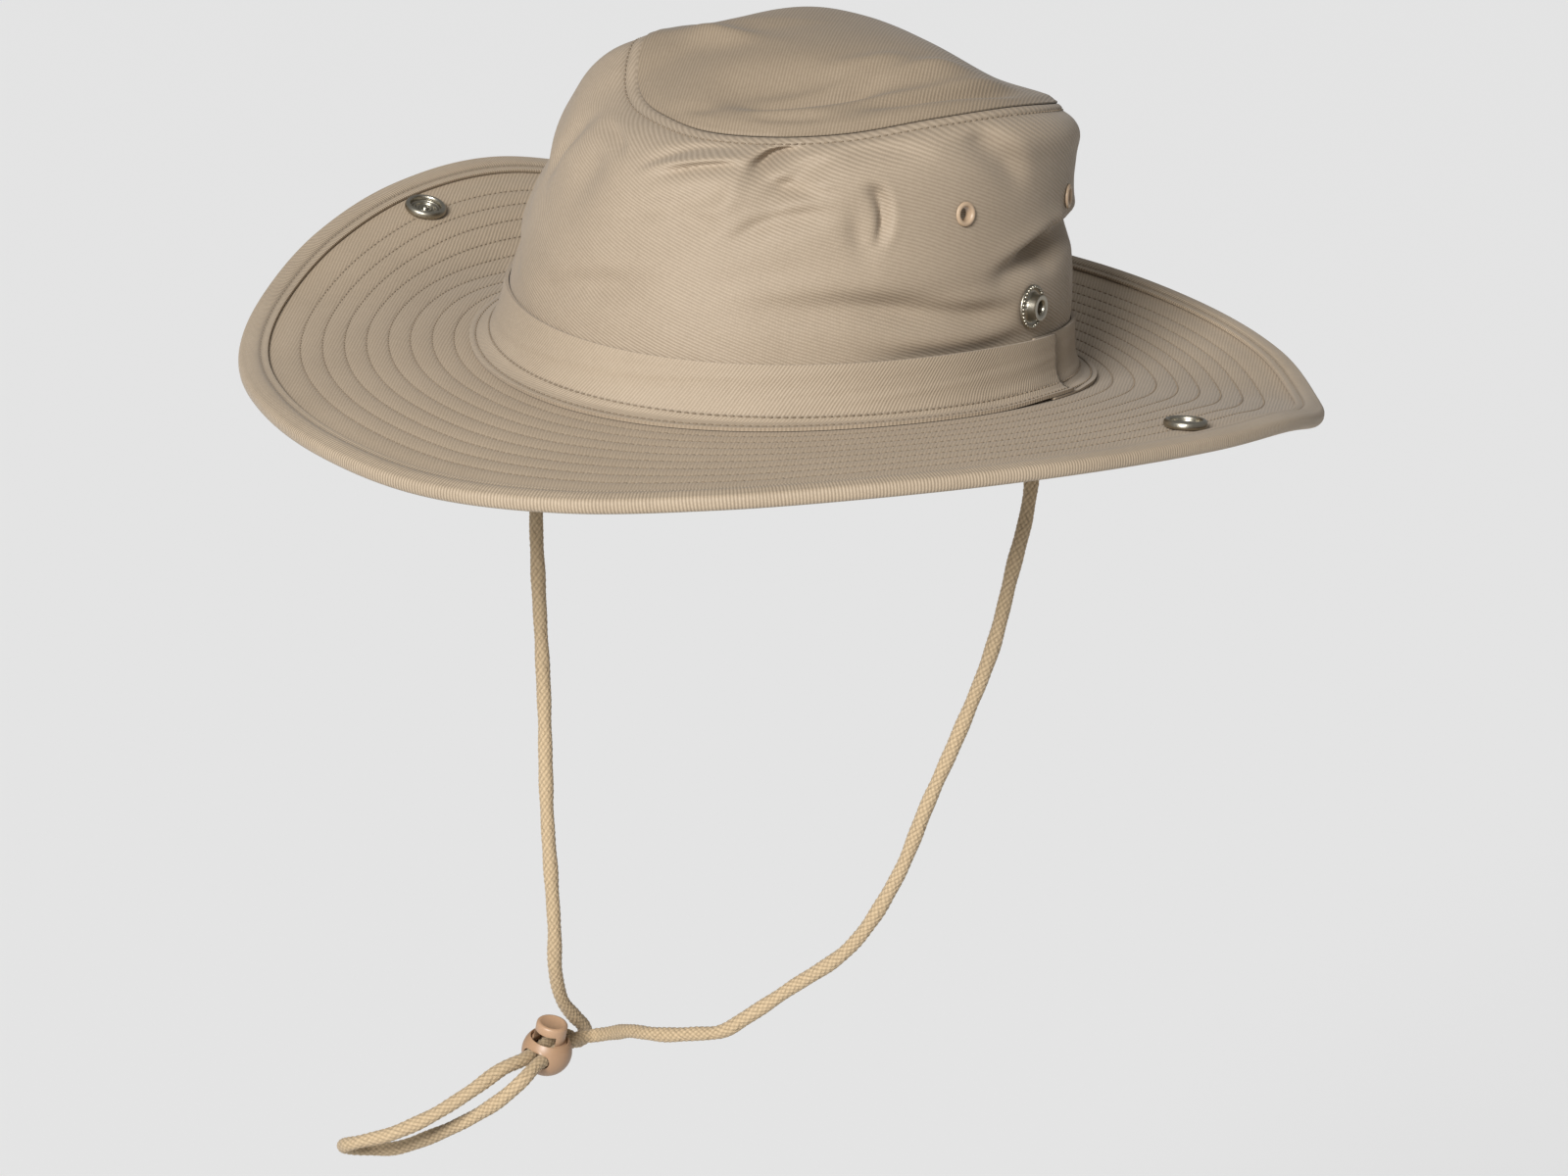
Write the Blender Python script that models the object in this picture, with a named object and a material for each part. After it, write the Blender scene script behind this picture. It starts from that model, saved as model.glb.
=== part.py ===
"""A wide-brimmed bush hat in cotton drill, as it hangs when worn: soft crown with a sewn-in tip,
brim with a bound rim, band, eyelets, side snaps, and a chin cord with a push-button stopper.

The origin is the middle of the head opening, level with the lower edge of the band.
+Z is up, -Y is the front of the hat and +X is the wearer's left. Lengths are in metres.
"""

import math

import bmesh
import bpy
import numpy as np
from mathutils import Euler, Matrix, Vector

# The head opening and the crown
HEAD_HALF_WIDTH = 0.0846
HEAD_HALF_LENGTH = 0.1006
CROWN_HEIGHT = 0.095
TIP_RISE = 0.0175
TIP_LEVEL = 0.96
LEAN = 0.0125
LEAN_TURN = math.radians(66)
OPENING_SADDLE = 0.0034

# Cloth, and the gap kept between sewn layers
CLOTH = 0.0014
GAP = 0.0003
SEAM_ALLOWANCE = 0.0060
TIP_INSET = 0.0004

# The brim, a little broader towards its back left, its upturned collar inside the band, and
# the binding round its rim
BRIM_BREADTH = 0.0830
BRIM_SKEW = 0.012
BRIM_SKEW_TURN = math.radians(45)
BRIM_THICKNESS = 0.0024
COLLAR_HEIGHT = 0.0110
COLLAR_THICKNESS = 0.0012
COLLAR_FILLET = 0.0012
BINDING_WIDTH = 0.0095
BINDING_THICKNESS = 0.0011

# The band round the foot of the crown, one strip that overlaps itself on the left. Its start,
# its lap and the run over which it rises onto the lap are counted in stations round the hat.
BAND_HEIGHT = 0.0205
BAND_THICKNESS = 0.0012
BAND_BREAK = 0.0075
BAND_FLARE = 0.0085
BAND_START = 1
BAND_LAP = 1
BAND_RISE = 2

# Eyelets, studs and snap sockets
EYELET_DIAMETER = 0.0080
EYELET_HOLE = 0.0040
EYELET_NECK = 0.0054
EYELET_FLANGE = 0.0008
EYELET_MIDDLE = 5.5
EYELET_SPREAD = 20.5
EYELET_UP = 0.690
STUD_DIAMETER = 0.0145
STUD_RING = 0.0012
STUD_POST_DIAMETER = 0.0086
STUD_POST_HEIGHT = 0.0040
STUD_HOLE = 0.0042
STUD_ANGLE = 6.5
STUD_UP = 0.338
SOCKET_DIAMETER = 0.0136
SOCKET_HEIGHT = 0.0016
SOCKET_RECESS = 0.0070
SOCKET_ANGLE = 1.5
SOCKET_TO_BINDING = 0.0021
SNAP_NECK = 0.0040
SNAP_CAP_DIAMETER = 0.0124
SNAP_CAP_HEIGHT = 0.0011
NECK_CLEARANCE = 0.0003
FRONT_SEAT = 0.0004
BACK_SEAT = 0.0007
FLAT_ROUND_METAL = 0.0085
FOLDS_START = 0.0190

# The chin cord, the tape tabs that hold its ends, and the stopper that slides on it
CORD_DIAMETER = 0.0048
CORD_STEP = 0.0144
CORD_TURN = math.radians(36)
TAB_SEAT = 0.0007
TAB_WALL = 0.0012
TAB_HEIGHT = 0.0130
TAB_DEPTH = 0.0085
TAB_RIGHT_ANGLE = 185.5
TAB_LEFT_ANGLE = 9.0
BALL_DIAMETER = 0.0173
BALL_LIP = 0.0054
BORE_DIAMETER = 0.0128
BORE_FLOOR = 0.0060
PLUNGER_CLEARANCE = 0.0003
PLUNGER_TOP = 0.0116
PLUNGER_FOOT = 0.0036
PLUNGER_ROUND = 0.0010
PLUNGER_TRAVEL = 0.0020
CHAMFER_RUN = 0.0018
CHAMFER_RISE = 0.0024
CORD_CLEARANCE = 0.0003
STOPPER_PLACE = Vector((-0.0620, -0.0066, -0.2566))
STOPPER_TURN = Euler((math.radians(8.5), math.radians(10.2), math.radians(8.7)), "XYZ")
STRAIGHT_RUN = 0.0110

# Facets
STATIONS = 44
ROUND_SIDES = 10
BALL_SIDES = 16
BALL_ARCS = 7
CURVE_STEPS = 24
SEAM_SHARE = SEAM_ALLOWANCE / CROWN_HEIGHT
SEAM_LEVELS = (1.0 - SEAM_SHARE, 1.0 - SEAM_SHARE * 0.4, 1.0)
WALL_LEVELS = (0.0, 0.11, 0.21, 0.32, 0.42, 0.52, 0.62, 0.71, 0.80, 0.87) + SEAM_LEVELS
TIP_REACHES = (0.24, 0.46, 0.66, 0.82, 0.93, 1.0)
TIP_UNDER_REACHES = (0.91, 0.80, 0.64, 0.44, 0.22)
BRIM_REACHES = (0.17, 0.33, 0.50, 0.67, 0.84, 1.0)

# Crown sections from the opening up to the tip seam: height as a share of the wall's height,
# half width and half length as shares of the opening's, and the lean as a share of LEAN
CROWN_SECTIONS = (
    # up    width  length lean
    (0.00, 1.000, 1.000, 0.00),
    (0.12, 1.000, 1.000, 0.00),
    (0.31, 0.990, 0.990, 0.02),
    (0.42, 0.976, 0.977, 0.05),
    (0.53, 0.955, 0.957, 0.10),
    (0.63, 0.932, 0.935, 0.20),
    (0.74, 0.911, 0.915, 0.30),
    (0.84, 0.888, 0.893, 0.46),
    (0.90, 0.862, 0.868, 0.60),
    (0.95, 0.820, 0.827, 0.76),
    (1.00, 0.740, 0.748, 1.00),
)

# Height of the tip seam round the crown, as a share of CROWN_HEIGHT
SEAM_HEIGHTS = (
    # angle  height
    (-180, 1.020),
    (-165, 1.030),
    (-150, 1.035),
    (-141, 0.990),
    (-131, 0.925),
    (-120, 0.892),
    (-105, 0.878),
    (-90, 0.870),
    (-70, 0.892),
    (-50, 0.930),
    (-25, 0.994),
    (0, 1.014),
    (30, 0.972),
    (60, 0.895),
    (90, 0.885),
    (120, 0.925),
    (150, 0.985),
)

# Heights of the brim over the opening's edge, at a third and two thirds of its breadth and at
# the rim, as shares of BRIM_BREADTH
BRIM_SECTIONS = (
    # angle  inner   outer   rim
    (-180, -0.010, 0.125, 0.207),
    (-165, -0.010, 0.040, 0.077),
    (-150, -0.020, -0.040, -0.067),
    (-135, -0.030, -0.080, -0.147),
    (-120, -0.040, -0.100, -0.162),
    (-105, -0.040, -0.105, -0.177),
    (-90, -0.040, -0.105, -0.178),
    (-75, -0.028, -0.074, -0.125),
    (-60, -0.008, -0.026, -0.042),
    (-45, 0.012, 0.022, 0.029),
    (-30, 0.027, 0.053, 0.074),
    (-15, 0.032, 0.065, 0.097),
    (0, 0.035, 0.070, 0.100),
    (15, 0.030, 0.058, 0.087),
    (30, 0.010, 0.012, 0.015),
    (45, 0.000, -0.015, -0.029),
    (60, 0.010, 0.022, 0.038),
    (75, 0.025, 0.058, 0.093),
    (90, 0.035, 0.080, 0.134),
    (105, 0.035, 0.090, 0.152),
    (120, 0.030, 0.095, 0.173),
    (135, 0.020, 0.105, 0.200),
    (150, 0.010, 0.130, 0.245),
    (165, 0.000, 0.160, 0.281),
)

# Folds in the crown's wall: where the middle of each lies, which way it runs (degrees above
# level, seen from outside), and its half length, half width and relief (dents are negative)
# as shares of CROWN_HEIGHT
CROWN_FOLDS = (
    # angle  up    turn  long   wide   relief
    (-56, 0.86, 39, 0.135, 0.060, -0.045),
    (-81, 0.77, 17, 0.210, 0.040, -0.018),
    (-39, 0.67, -61, 0.090, 0.040, -0.018),
    (-57, 0.53, 7, 0.270, 0.060, -0.012),
    (-30, 0.41, 2, 0.380, 0.050, -0.018),
    (14, 0.52, 16, 0.190, 0.060, -0.045),
    (-12, 0.90, -22, 0.180, 0.060, -0.018),
    (-111, 0.78, 60, 0.120, 0.100, -0.025),
    (-69, 0.83, 75, 0.080, 0.050, 0.020),
    (58, 0.45, -8, 0.250, 0.060, -0.022),
    (68, 0.80, 25, 0.180, 0.060, -0.025),
    (102, 0.55, -20, 0.300, 0.070, -0.030),
    (140, 0.76, 35, 0.200, 0.060, -0.028),
    (176, 0.52, 10, 0.260, 0.060, -0.020),
    (-148, 0.60, -30, 0.200, 0.060, -0.025),
)

# Folds in the tip: place as shares of the tip's half width and half length, direction in
# plan from +X, and sizes as shares of CROWN_HEIGHT
TIP_FOLDS = (
    # x      y      turn  long   wide   relief
    (0.05, -0.80, 35, 0.280, 0.060, -0.020),
    (-0.45, -0.42, 0, 0.220, 0.060, 0.014),
    (0.78, -0.25, 70, 0.330, 0.045, -0.022),
    (0.54, -0.24, 66, 0.260, 0.060, 0.012),
    (-0.30, 0.50, -20, 0.330, 0.070, -0.016),
    (0.48, 0.48, -38, 0.420, 0.210, -0.060),
    (-0.05, 0.82, -8, 0.300, 0.120, -0.020),
    (-0.80, 0.02, 88, 0.380, 0.150, -0.055),
    (-0.46, 0.12, 60, 0.300, 0.200, 0.026),
)

# Route of the cord between its ends: down from the right tab to the back of the stopper
CORD_DOWN = (
    (-0.0826, -0.0100, -0.0150),
    (-0.0862, -0.0106, -0.0340),
    (-0.0877, -0.0109, -0.0530),
    (-0.0866, -0.0108, -0.0722),
    (-0.0836, -0.0103, -0.0927),
    (-0.0769, -0.0091, -0.1334),
    (-0.0713, -0.0082, -0.1729),
    (-0.0680, -0.0062, -0.1967),
    (-0.0660, -0.0040, -0.2153),
    (-0.0669, 0.0000, -0.2305),
    (-0.0677, 0.0070, -0.2430),
    (-0.0674, 0.0145, -0.2502),
    (-0.0674, 0.0205, -0.2552),
    (-0.0682, 0.0225, -0.2592),
    (-0.0683, 0.0190, -0.2604),
    (-0.0672, 0.0125, -0.2570),
)
# then out of its front, round the tail loop and back to its front
CORD_TAIL = (
    (-0.0655, -0.0255, -0.2600),
    (-0.0705, -0.0355, -0.2675),
    (-0.0785, -0.0450, -0.2765),
    (-0.0890, -0.0525, -0.2845),
    (-0.0990, -0.0560, -0.2895),
    (-0.1068, -0.0545, -0.2935),
    (-0.1112, -0.0480, -0.2970),
    (-0.1082, -0.0408, -0.2984),
    (-0.1000, -0.0365, -0.2968),
    (-0.0875, -0.0325, -0.2895),
    (-0.0745, -0.0295, -0.2800),
    (-0.0640, -0.0275, -0.2705),
    (-0.0580, -0.0240, -0.2625),
)
# and from its back up to the left tab
CORD_UP = (
    (-0.0614, 0.0112, -0.2553),
    (-0.0588, 0.0155, -0.2548),
    (-0.0508, 0.0140, -0.2513),
    (-0.0380, 0.0072, -0.2454),
    (-0.0281, 0.0032, -0.2424),
    (-0.0208, 0.0020, -0.2406),
    (-0.0068, 0.0012, -0.2360),
    (0.0043, 0.0014, -0.2318),
    (0.0115, 0.0032, -0.2255),
    (0.0246, 0.0082, -0.2124),
    (0.0446, 0.0116, -0.1926),
    (0.0581, 0.0139, -0.1654),
    (0.0660, 0.0153, -0.1374),
    (0.0742, 0.0167, -0.1106),
    (0.0818, 0.0180, -0.0817),
    (0.0858, 0.0186, -0.0525),
    (0.0882, 0.0191, -0.0330),
    (0.0876, 0.0189, -0.0180),
)


def make_material(name, colour, roughness, metallic=0.0):
    """A plain Principled material."""
    material = bpy.data.materials.new(name)
    material.use_nodes = True
    shader = material.node_tree.nodes["Principled BSDF"]
    shader.inputs["Base Color"].default_value = (*colour, 1.0)
    shader.inputs["Roughness"].default_value = roughness
    shader.inputs["Metallic"].default_value = metallic
    return material


def hermite(before, start, end, after, share):
    """Smooth blend from start to end, given (place, value) pairs and the neighbours' too."""
    span = end[0] - start[0]
    slope_a = (end[1] - before[1]) / (end[0] - before[0])
    slope_b = (after[1] - start[1]) / (after[0] - start[0])
    s2, s3 = share**2, share**3
    return (
        (2 * s3 - 3 * s2 + 1) * start[1]
        + (s3 - 2 * s2 + share) * span * slope_a
        + (3 * s2 - 2 * s3) * end[1]
        + (s3 - s2) * span * slope_b
    )


def round_value(table, column, angle):
    """Value at an angle in degrees of a table whose first column goes once round."""
    angle = (angle + 180.0) % 360.0 - 180.0
    rows = [(row[0], row[column]) for row in table]
    ring = (
        [(place - 360, value) for place, value in rows[-2:]]
        + rows
        + [(place + 360, value) for place, value in rows[:2]]
    )
    for i in range(1, len(ring) - 2):
        if ring[i][0] <= angle < ring[i + 1][0]:
            share = (angle - ring[i][0]) / (ring[i + 1][0] - ring[i][0])
            return hermite(ring[i - 1], ring[i], ring[i + 1], ring[i + 2], share)
    return rows[0][1]


def rising_value(table, column, place):
    """Value at a place of a table whose first column only rises."""
    rows = [(row[0], row[column]) for row in table]
    place = min(max(place, rows[0][0]), rows[-1][0])
    for i in range(len(rows) - 1):
        if place <= rows[i + 1][0]:
            before = rows[max(i - 1, 0)]
            after = rows[min(i + 2, len(rows) - 1)]
            share = (place - rows[i][0]) / (rows[i + 1][0] - rows[i][0])
            return hermite(before, rows[i], rows[i + 1], after, share)
    return rows[-1][1]


def fold_relief(folds, ways):
    """Sum of the folds at a place, given the way (x, y) from each one's middle to the place."""
    total = 0.0
    for row, (x, y) in zip(folds, ways):
        turn = math.radians(row[2])
        along = x * math.cos(turn) + y * math.sin(turn)
        over = y * math.cos(turn) - x * math.sin(turn)
        total += row[5] * math.exp(-((along / row[3]) ** 2) - (over / row[4]) ** 2)
    return total


def opening_lift(angle):
    """Height of the opening's edge, which is a shallow saddle, high at the sides."""
    return OPENING_SADDLE * math.cos(2 * math.radians(angle))


def seam_height(angle):
    """Height of the tip seam."""
    return CROWN_HEIGHT * round_value(SEAM_HEIGHTS, 1, angle)


def metal_places():
    """Angle and share of height of each eyelet and stud on the crown, left side then right."""
    left = [
        (EYELET_MIDDLE - EYELET_SPREAD, EYELET_UP),
        (EYELET_MIDDLE + EYELET_SPREAD, EYELET_UP),
        (STUD_ANGLE, STUD_UP),
    ]
    return left + [(180.0 - angle, up) for angle, up in left]


def ease(share):
    """Smooth step from 0 to 1."""
    share = min(max(share, 0.0), 1.0)
    return share * share * (3 - 2 * share)


def wall_way(place, angle, up):
    """The way round and up the wall from a place to another, in shares of its height."""
    arc = math.radians(1.0) * (HEAD_HALF_WIDTH + HEAD_HALF_LENGTH) / 2 / CROWN_HEIGHT
    turned = (angle - place[0] + 180.0) % 360.0 - 180.0
    return turned * arc, up - place[1]


def crown_relief(angle, up):
    """How far the folds push the wall out; the cloth lies flat at the seam and round metal."""
    calm = ease((SEAM_LEVELS[1] - up) / SEAM_SHARE)
    for place in metal_places():
        away = CROWN_HEIGHT * math.hypot(*wall_way(place, angle, up))
        calm *= ease((away - FLAT_ROUND_METAL) / (FOLDS_START - FLAT_ROUND_METAL))
    ways = [wall_way(row, angle, up) for row in CROWN_FOLDS]
    return CROWN_HEIGHT * fold_relief(CROWN_FOLDS, ways) * calm


def oval_point(half_width, half_length, angle, out):
    """Point of an oval moved outward square to it, and the outward direction."""
    turn = math.radians(angle)
    normal = Vector((math.cos(turn) / half_width, math.sin(turn) / half_length, 0.0)).normalized()
    place = Vector((half_width * math.cos(turn), half_length * math.sin(turn), 0.0))
    return place + normal * out, normal


def wall_point(angle, up, out):
    """Point of the crown's wall, out metres outside its inner face, at a share of its height."""
    width = HEAD_HALF_WIDTH * rising_value(CROWN_SECTIONS, 1, up)
    length = HEAD_HALF_LENGTH * rising_value(CROWN_SECTIONS, 2, up)
    lean = LEAN * rising_value(CROWN_SECTIONS, 3, up)
    place, _ = oval_point(width, length, angle, out + crown_relief(angle, up))
    low = opening_lift(angle)
    rise = low + up * (seam_height(angle) - low)
    return place + Vector((lean * math.cos(LEAN_TURN), lean * math.sin(LEAN_TURN), rise))


def wall_share(angle, height):
    """The share of the wall's height at a height above the opening's edge."""
    return height / (seam_height(angle) - opening_lift(angle))


def tip_point(angle, reach, drop):
    """Point of the tip at a share of the way from its middle to the seam, drop metres below."""
    width = HEAD_HALF_WIDTH * CROWN_SECTIONS[-1][1] + CLOTH - TIP_INSET
    length = HEAD_HALF_LENGTH * CROWN_SECTIONS[-1][2] + CLOTH - TIP_INSET
    turn = math.radians(angle)
    x, y = reach * math.cos(turn), reach * math.sin(turn)
    level = CROWN_HEIGHT * TIP_LEVEL
    rise = level + (seam_height(angle) - level) * reach**2 + TIP_RISE * (1 - reach**2.3)
    wide, long = width / CROWN_HEIGHT, length / CROWN_HEIGHT
    ways = [((x - row[0]) * wide, (y - row[1]) * long) for row in TIP_FOLDS]
    rise += CROWN_HEIGHT * fold_relief(TIP_FOLDS, ways) * (1 - reach**8)
    middle = Vector((LEAN * math.cos(LEAN_TURN), LEAN * math.sin(LEAN_TURN), 0.0))
    return middle + Vector((width * x, length * y, rise + GAP + CLOTH - drop))


def brim_height(angle, reach):
    """Height of the brim's middle face, reach metres out from the crown."""
    share = reach / BRIM_BREADTH
    knots = (
        (0.0, 0.0),
        (1 / 3, round_value(BRIM_SECTIONS, 1, angle)),
        (2 / 3, round_value(BRIM_SECTIONS, 2, angle)),
        (1.0, round_value(BRIM_SECTIONS, 3, angle)),
    )
    if share > 1.0:
        slope = (knots[3][1] - knots[2][1]) * 3
        return opening_lift(angle) + BRIM_BREADTH * (knots[3][1] + slope * (share - 1.0))
    return opening_lift(angle) + BRIM_BREADTH * rising_value(knots, 1, share)


def brim_middle(angle, reach):
    """Point of the brim's middle face."""
    broad = 1.0 + BRIM_SKEW * math.cos(math.radians(angle) - BRIM_SKEW_TURN)
    out = CLOTH + GAP + reach * broad
    place, _ = oval_point(HEAD_HALF_WIDTH, HEAD_HALF_LENGTH, angle, out)
    return place + Vector((0.0, 0.0, brim_height(angle, reach)))


def brim_normal(angle, reach):
    """Upward direction square to the brim."""
    step = BRIM_BREADTH / 50
    outward = brim_middle(angle, reach + step) - brim_middle(angle, max(reach - step, 0.0))
    around = brim_middle(angle + 1.0, reach) - brim_middle(angle - 1.0, reach)
    return outward.cross(around).normalized()


def brim_point(angle, reach, side):
    """Point side metres above the brim's middle face."""
    return brim_middle(angle, reach) + brim_normal(angle, reach) * side


def add_object(name, mesh, material):
    """Link a mesh as an object with its own material."""
    mesh.materials.append(material)
    thing = bpy.data.objects.new(name, mesh)
    bpy.context.scene.collection.objects.link(thing)
    return thing


def close_mesh(name, bm, material):
    """Finish a bmesh as an object, its faces pointing out."""
    bmesh.ops.triangulate(bm, faces=bm.faces[:])
    bmesh.ops.recalc_face_normals(bm, faces=bm.faces[:])
    mesh = bpy.data.meshes.new(name)
    bm.to_mesh(mesh)
    bm.free()
    mesh.shade_smooth()
    mesh.set_sharp_from_angle(angle=math.radians(40))
    return add_object(name, mesh, material)


def bridge_rows(bm, rows, round_sections, closed_rows):
    """Faces between rows of vertices; a row of one vertex is a pole."""
    count = len(rows)
    for i in range(count if round_sections else count - 1):
        here, there = rows[i], rows[(i + 1) % count]
        length = max(len(here), len(there))
        for j in range(length if closed_rows else length - 1):
            k = (j + 1) % length
            corners = [here[j % len(here)], here[k % len(here)]]
            corners += [there[k % len(there)], there[j % len(there)]]
            corners = list(dict.fromkeys(corners))
            if len(corners) > 2:
                bm.faces.new(corners)


def shell_of_revolution(name, sections, material):
    """A closed solid from the sections at each station round the hat."""
    bm = bmesh.new()
    rows = [[bm.verts.new(point) for point in section] for section in sections]
    bridge_rows(bm, rows, True, True)
    return close_mesh(name, bm, material)


def strip_solid(name, sections, material):
    """A closed solid from sections along a strip, each one face then the other run back."""
    bm = bmesh.new()
    rows = [[bm.verts.new(point) for point in section] for section in sections]
    bridge_rows(bm, rows, False, True)
    for row in (rows[0], rows[-1]):
        for i in range(len(row) // 2 - 1):
            bm.faces.new([row[i], row[i + 1], row[-i - 2], row[-i - 1]])
    return close_mesh(name, bm, material)


def turned_solid(name, profile, sides, material):
    """A solid turned about Z from (radius, height) points; on-axis ends become poles."""
    bm = bmesh.new()
    ring = profile[0][0] > 0
    rows = []
    for radius, height in profile:
        if radius == 0:
            rows.append([bm.verts.new((0, 0, height))])
            continue
        turns = [2 * math.pi * i / sides for i in range(sides)]
        rows.append([bm.verts.new((radius * math.cos(t), radius * math.sin(t), height)) for t in turns])
    bridge_rows(bm, rows, ring, True)
    return close_mesh(name, bm, material)


def station_angles():
    """The angles of the sections round the hat."""
    return [360.0 * i / STATIONS for i in range(STATIONS)]


def cut(target, cutter):
    """Cut one solid out of another, and keep the cutter as a hidden guide."""
    cutter.hide_render = True
    cutter.display_type = "WIRE"
    boolean = target.modifiers.new("hole_" + cutter.name, "BOOLEAN")
    boolean.operation = "DIFFERENCE"
    boolean.solver = "EXACT"
    boolean.object = cutter


def place_on(thing, point, normal):
    """Put a turned piece on a face, its axis along the face's normal."""
    thing.location = point
    thing.rotation_mode = "QUATERNION"
    thing.rotation_quaternion = Vector((0, 0, 1)).rotation_difference(normal)


def drill(target, name, diameter, point, normal, depth):
    """Cut a round hole through a cloth wall."""
    cutter = turned_solid(
        name,
        [(0, -depth), (diameter / 2, -depth), (diameter / 2, depth), (0, depth)],
        ROUND_SIDES,
        target.data.materials[0],
    )
    place_on(cutter, point, normal)
    cut(target, cutter)


def wall_frame(angle, up):
    """Outer face point of the crown's wall and its outward normal."""
    step = 0.02
    upward = wall_point(angle, up + step, CLOTH) - wall_point(angle, up - step, CLOTH)
    around = wall_point(angle + 2.0, up, CLOTH) - wall_point(angle - 2.0, up, CLOTH)
    return wall_point(angle, up, CLOTH), around.cross(upward).normalized()


def make_crown_side(material):
    """The crown's side panel: an open sleeve from the opening up to the tip seam."""
    sections = []
    for angle in station_angles():
        outer = [wall_point(angle, up, CLOTH) for up in WALL_LEVELS]
        inner = [wall_point(angle, up, 0.0) for up in WALL_LEVELS]
        sections.append(outer + inner[::-1])
    return shell_of_revolution("crown_side", sections, material)


def make_crown_tip(material):
    """The crown's oval top, with its seam allowance turned down inside the side panel."""
    rows = []
    profiles = []
    for angle in station_angles():
        top = [tip_point(angle, reach, 0.0) for reach in TIP_REACHES]
        edge = tip_point(angle, 1.0, CLOTH)
        corner = wall_point(angle, 1.0, -3 * GAP) + Vector((0, 0, GAP))
        flange = [wall_point(angle, up, -GAP) for up in SEAM_LEVELS[1::-1]]
        flange += [wall_point(angle, up, -GAP - CLOTH) for up in SEAM_LEVELS[:2]]
        under = [tip_point(angle, reach, CLOTH) for reach in TIP_UNDER_REACHES]
        profiles.append(top + [edge, corner] + flange + under)
    bm = bmesh.new()
    crown = [bm.verts.new(tip_point(0.0, 0.0, 0.0))]
    belly = [bm.verts.new(tip_point(0.0, 0.0, CLOTH))]
    for i in range(len(profiles[0])):
        rows.append([bm.verts.new(profile[i]) for profile in profiles])
    bridge_rows(bm, [crown] + rows + [belly], False, True)
    return close_mesh("crown_tip", bm, material)


def make_brim(material):
    """The brim, turned up inside the band as a collar."""
    half = BRIM_THICKNESS / 2
    reaches = [BRIM_BREADTH * share for share in BRIM_REACHES]
    foot = COLLAR_THICKNESS + COLLAR_FILLET
    sections = []
    for angle in station_angles():
        collar_top = wall_share(angle, COLLAR_HEIGHT)
        collar_low = wall_share(angle, half + COLLAR_FILLET)
        inside = CLOTH + GAP
        outside = inside + COLLAR_THICKNESS
        under = [brim_point(angle, reach, -half) for reach in [0.0] + reaches]
        over = [brim_point(angle, reach, half) for reach in reaches[::-1] + [foot]]
        collar = [
            wall_point(angle, collar_low, outside),
            wall_point(angle, collar_top, outside),
            wall_point(angle, collar_top, inside),
        ]
        sections.append(under + over + collar)
    return shell_of_revolution("brim", sections, material)


def binding_start():
    """How far out from the crown the binding's inner edge lies."""
    return BRIM_BREADTH + GAP + BINDING_THICKNESS - BINDING_WIDTH


def make_binding(material):
    """The bias binding folded over the brim's rim."""
    inner = BRIM_THICKNESS / 2 + GAP
    outer = inner + BINDING_THICKNESS
    nose = GAP + BINDING_THICKNESS
    start = binding_start()
    middle = BRIM_BREADTH - BINDING_WIDTH * 0.3
    profile = [
        (start, outer),
        (middle, outer),
        (BRIM_BREADTH + nose * 0.55, outer * 0.82),
        (BRIM_BREADTH + nose, 0.0),
        (BRIM_BREADTH + nose * 0.55, -outer * 0.82),
        (middle, -outer),
        (start, -outer),
        (start, -inner),
        (BRIM_BREADTH + GAP, -inner * 0.98),
        (BRIM_BREADTH + GAP, inner * 0.98),
        (start, inner),
    ]
    sections = [
        [brim_point(angle, reach, side) for reach, side in profile] for angle in station_angles()
    ]
    return shell_of_revolution("brim_binding", sections, material)


def band_section(angle, lift):
    """Section of the band, moved out by lift where it laps over its own start."""
    inside = CLOTH + GAP + COLLAR_THICKNESS + GAP + lift
    over_brim = BRIM_THICKNESS / 2 + GAP + lift
    knee = over_brim + COLLAR_FILLET
    knee_out = inside + COLLAR_FILLET + BAND_FLARE * 0.25
    flange_reach = COLLAR_THICKNESS + GAP + BAND_FLARE
    places = [
        (BAND_HEIGHT, inside),
        (BAND_BREAK, inside),
        (knee, knee_out),
        (knee + BAND_THICKNESS, knee_out + BAND_THICKNESS * 0.6),
        (BAND_BREAK + BAND_THICKNESS * 0.3, inside + BAND_THICKNESS),
        (BAND_HEIGHT, inside + BAND_THICKNESS),
    ]
    wall = [wall_point(angle, wall_share(angle, height), out) for height, out in places]
    edge = [
        brim_point(angle, flange_reach, over_brim),
        brim_point(angle, flange_reach + BAND_THICKNESS * 0.3, over_brim + BAND_THICKNESS),
    ]
    return wall[:3] + edge + wall[3:]


def make_band(material):
    """The band: one strip round the crown whose end laps over its start."""
    lap = BAND_THICKNESS + GAP
    meeting = STATIONS + BAND_START
    sections = []
    for station in range(BAND_START, meeting + BAND_LAP + 1):
        share = ease((station - meeting + BAND_RISE) / BAND_RISE)
        sections.append(band_section(360.0 * station / STATIONS, lap * share))
    return strip_solid("hat_band", sections, material)


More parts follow.
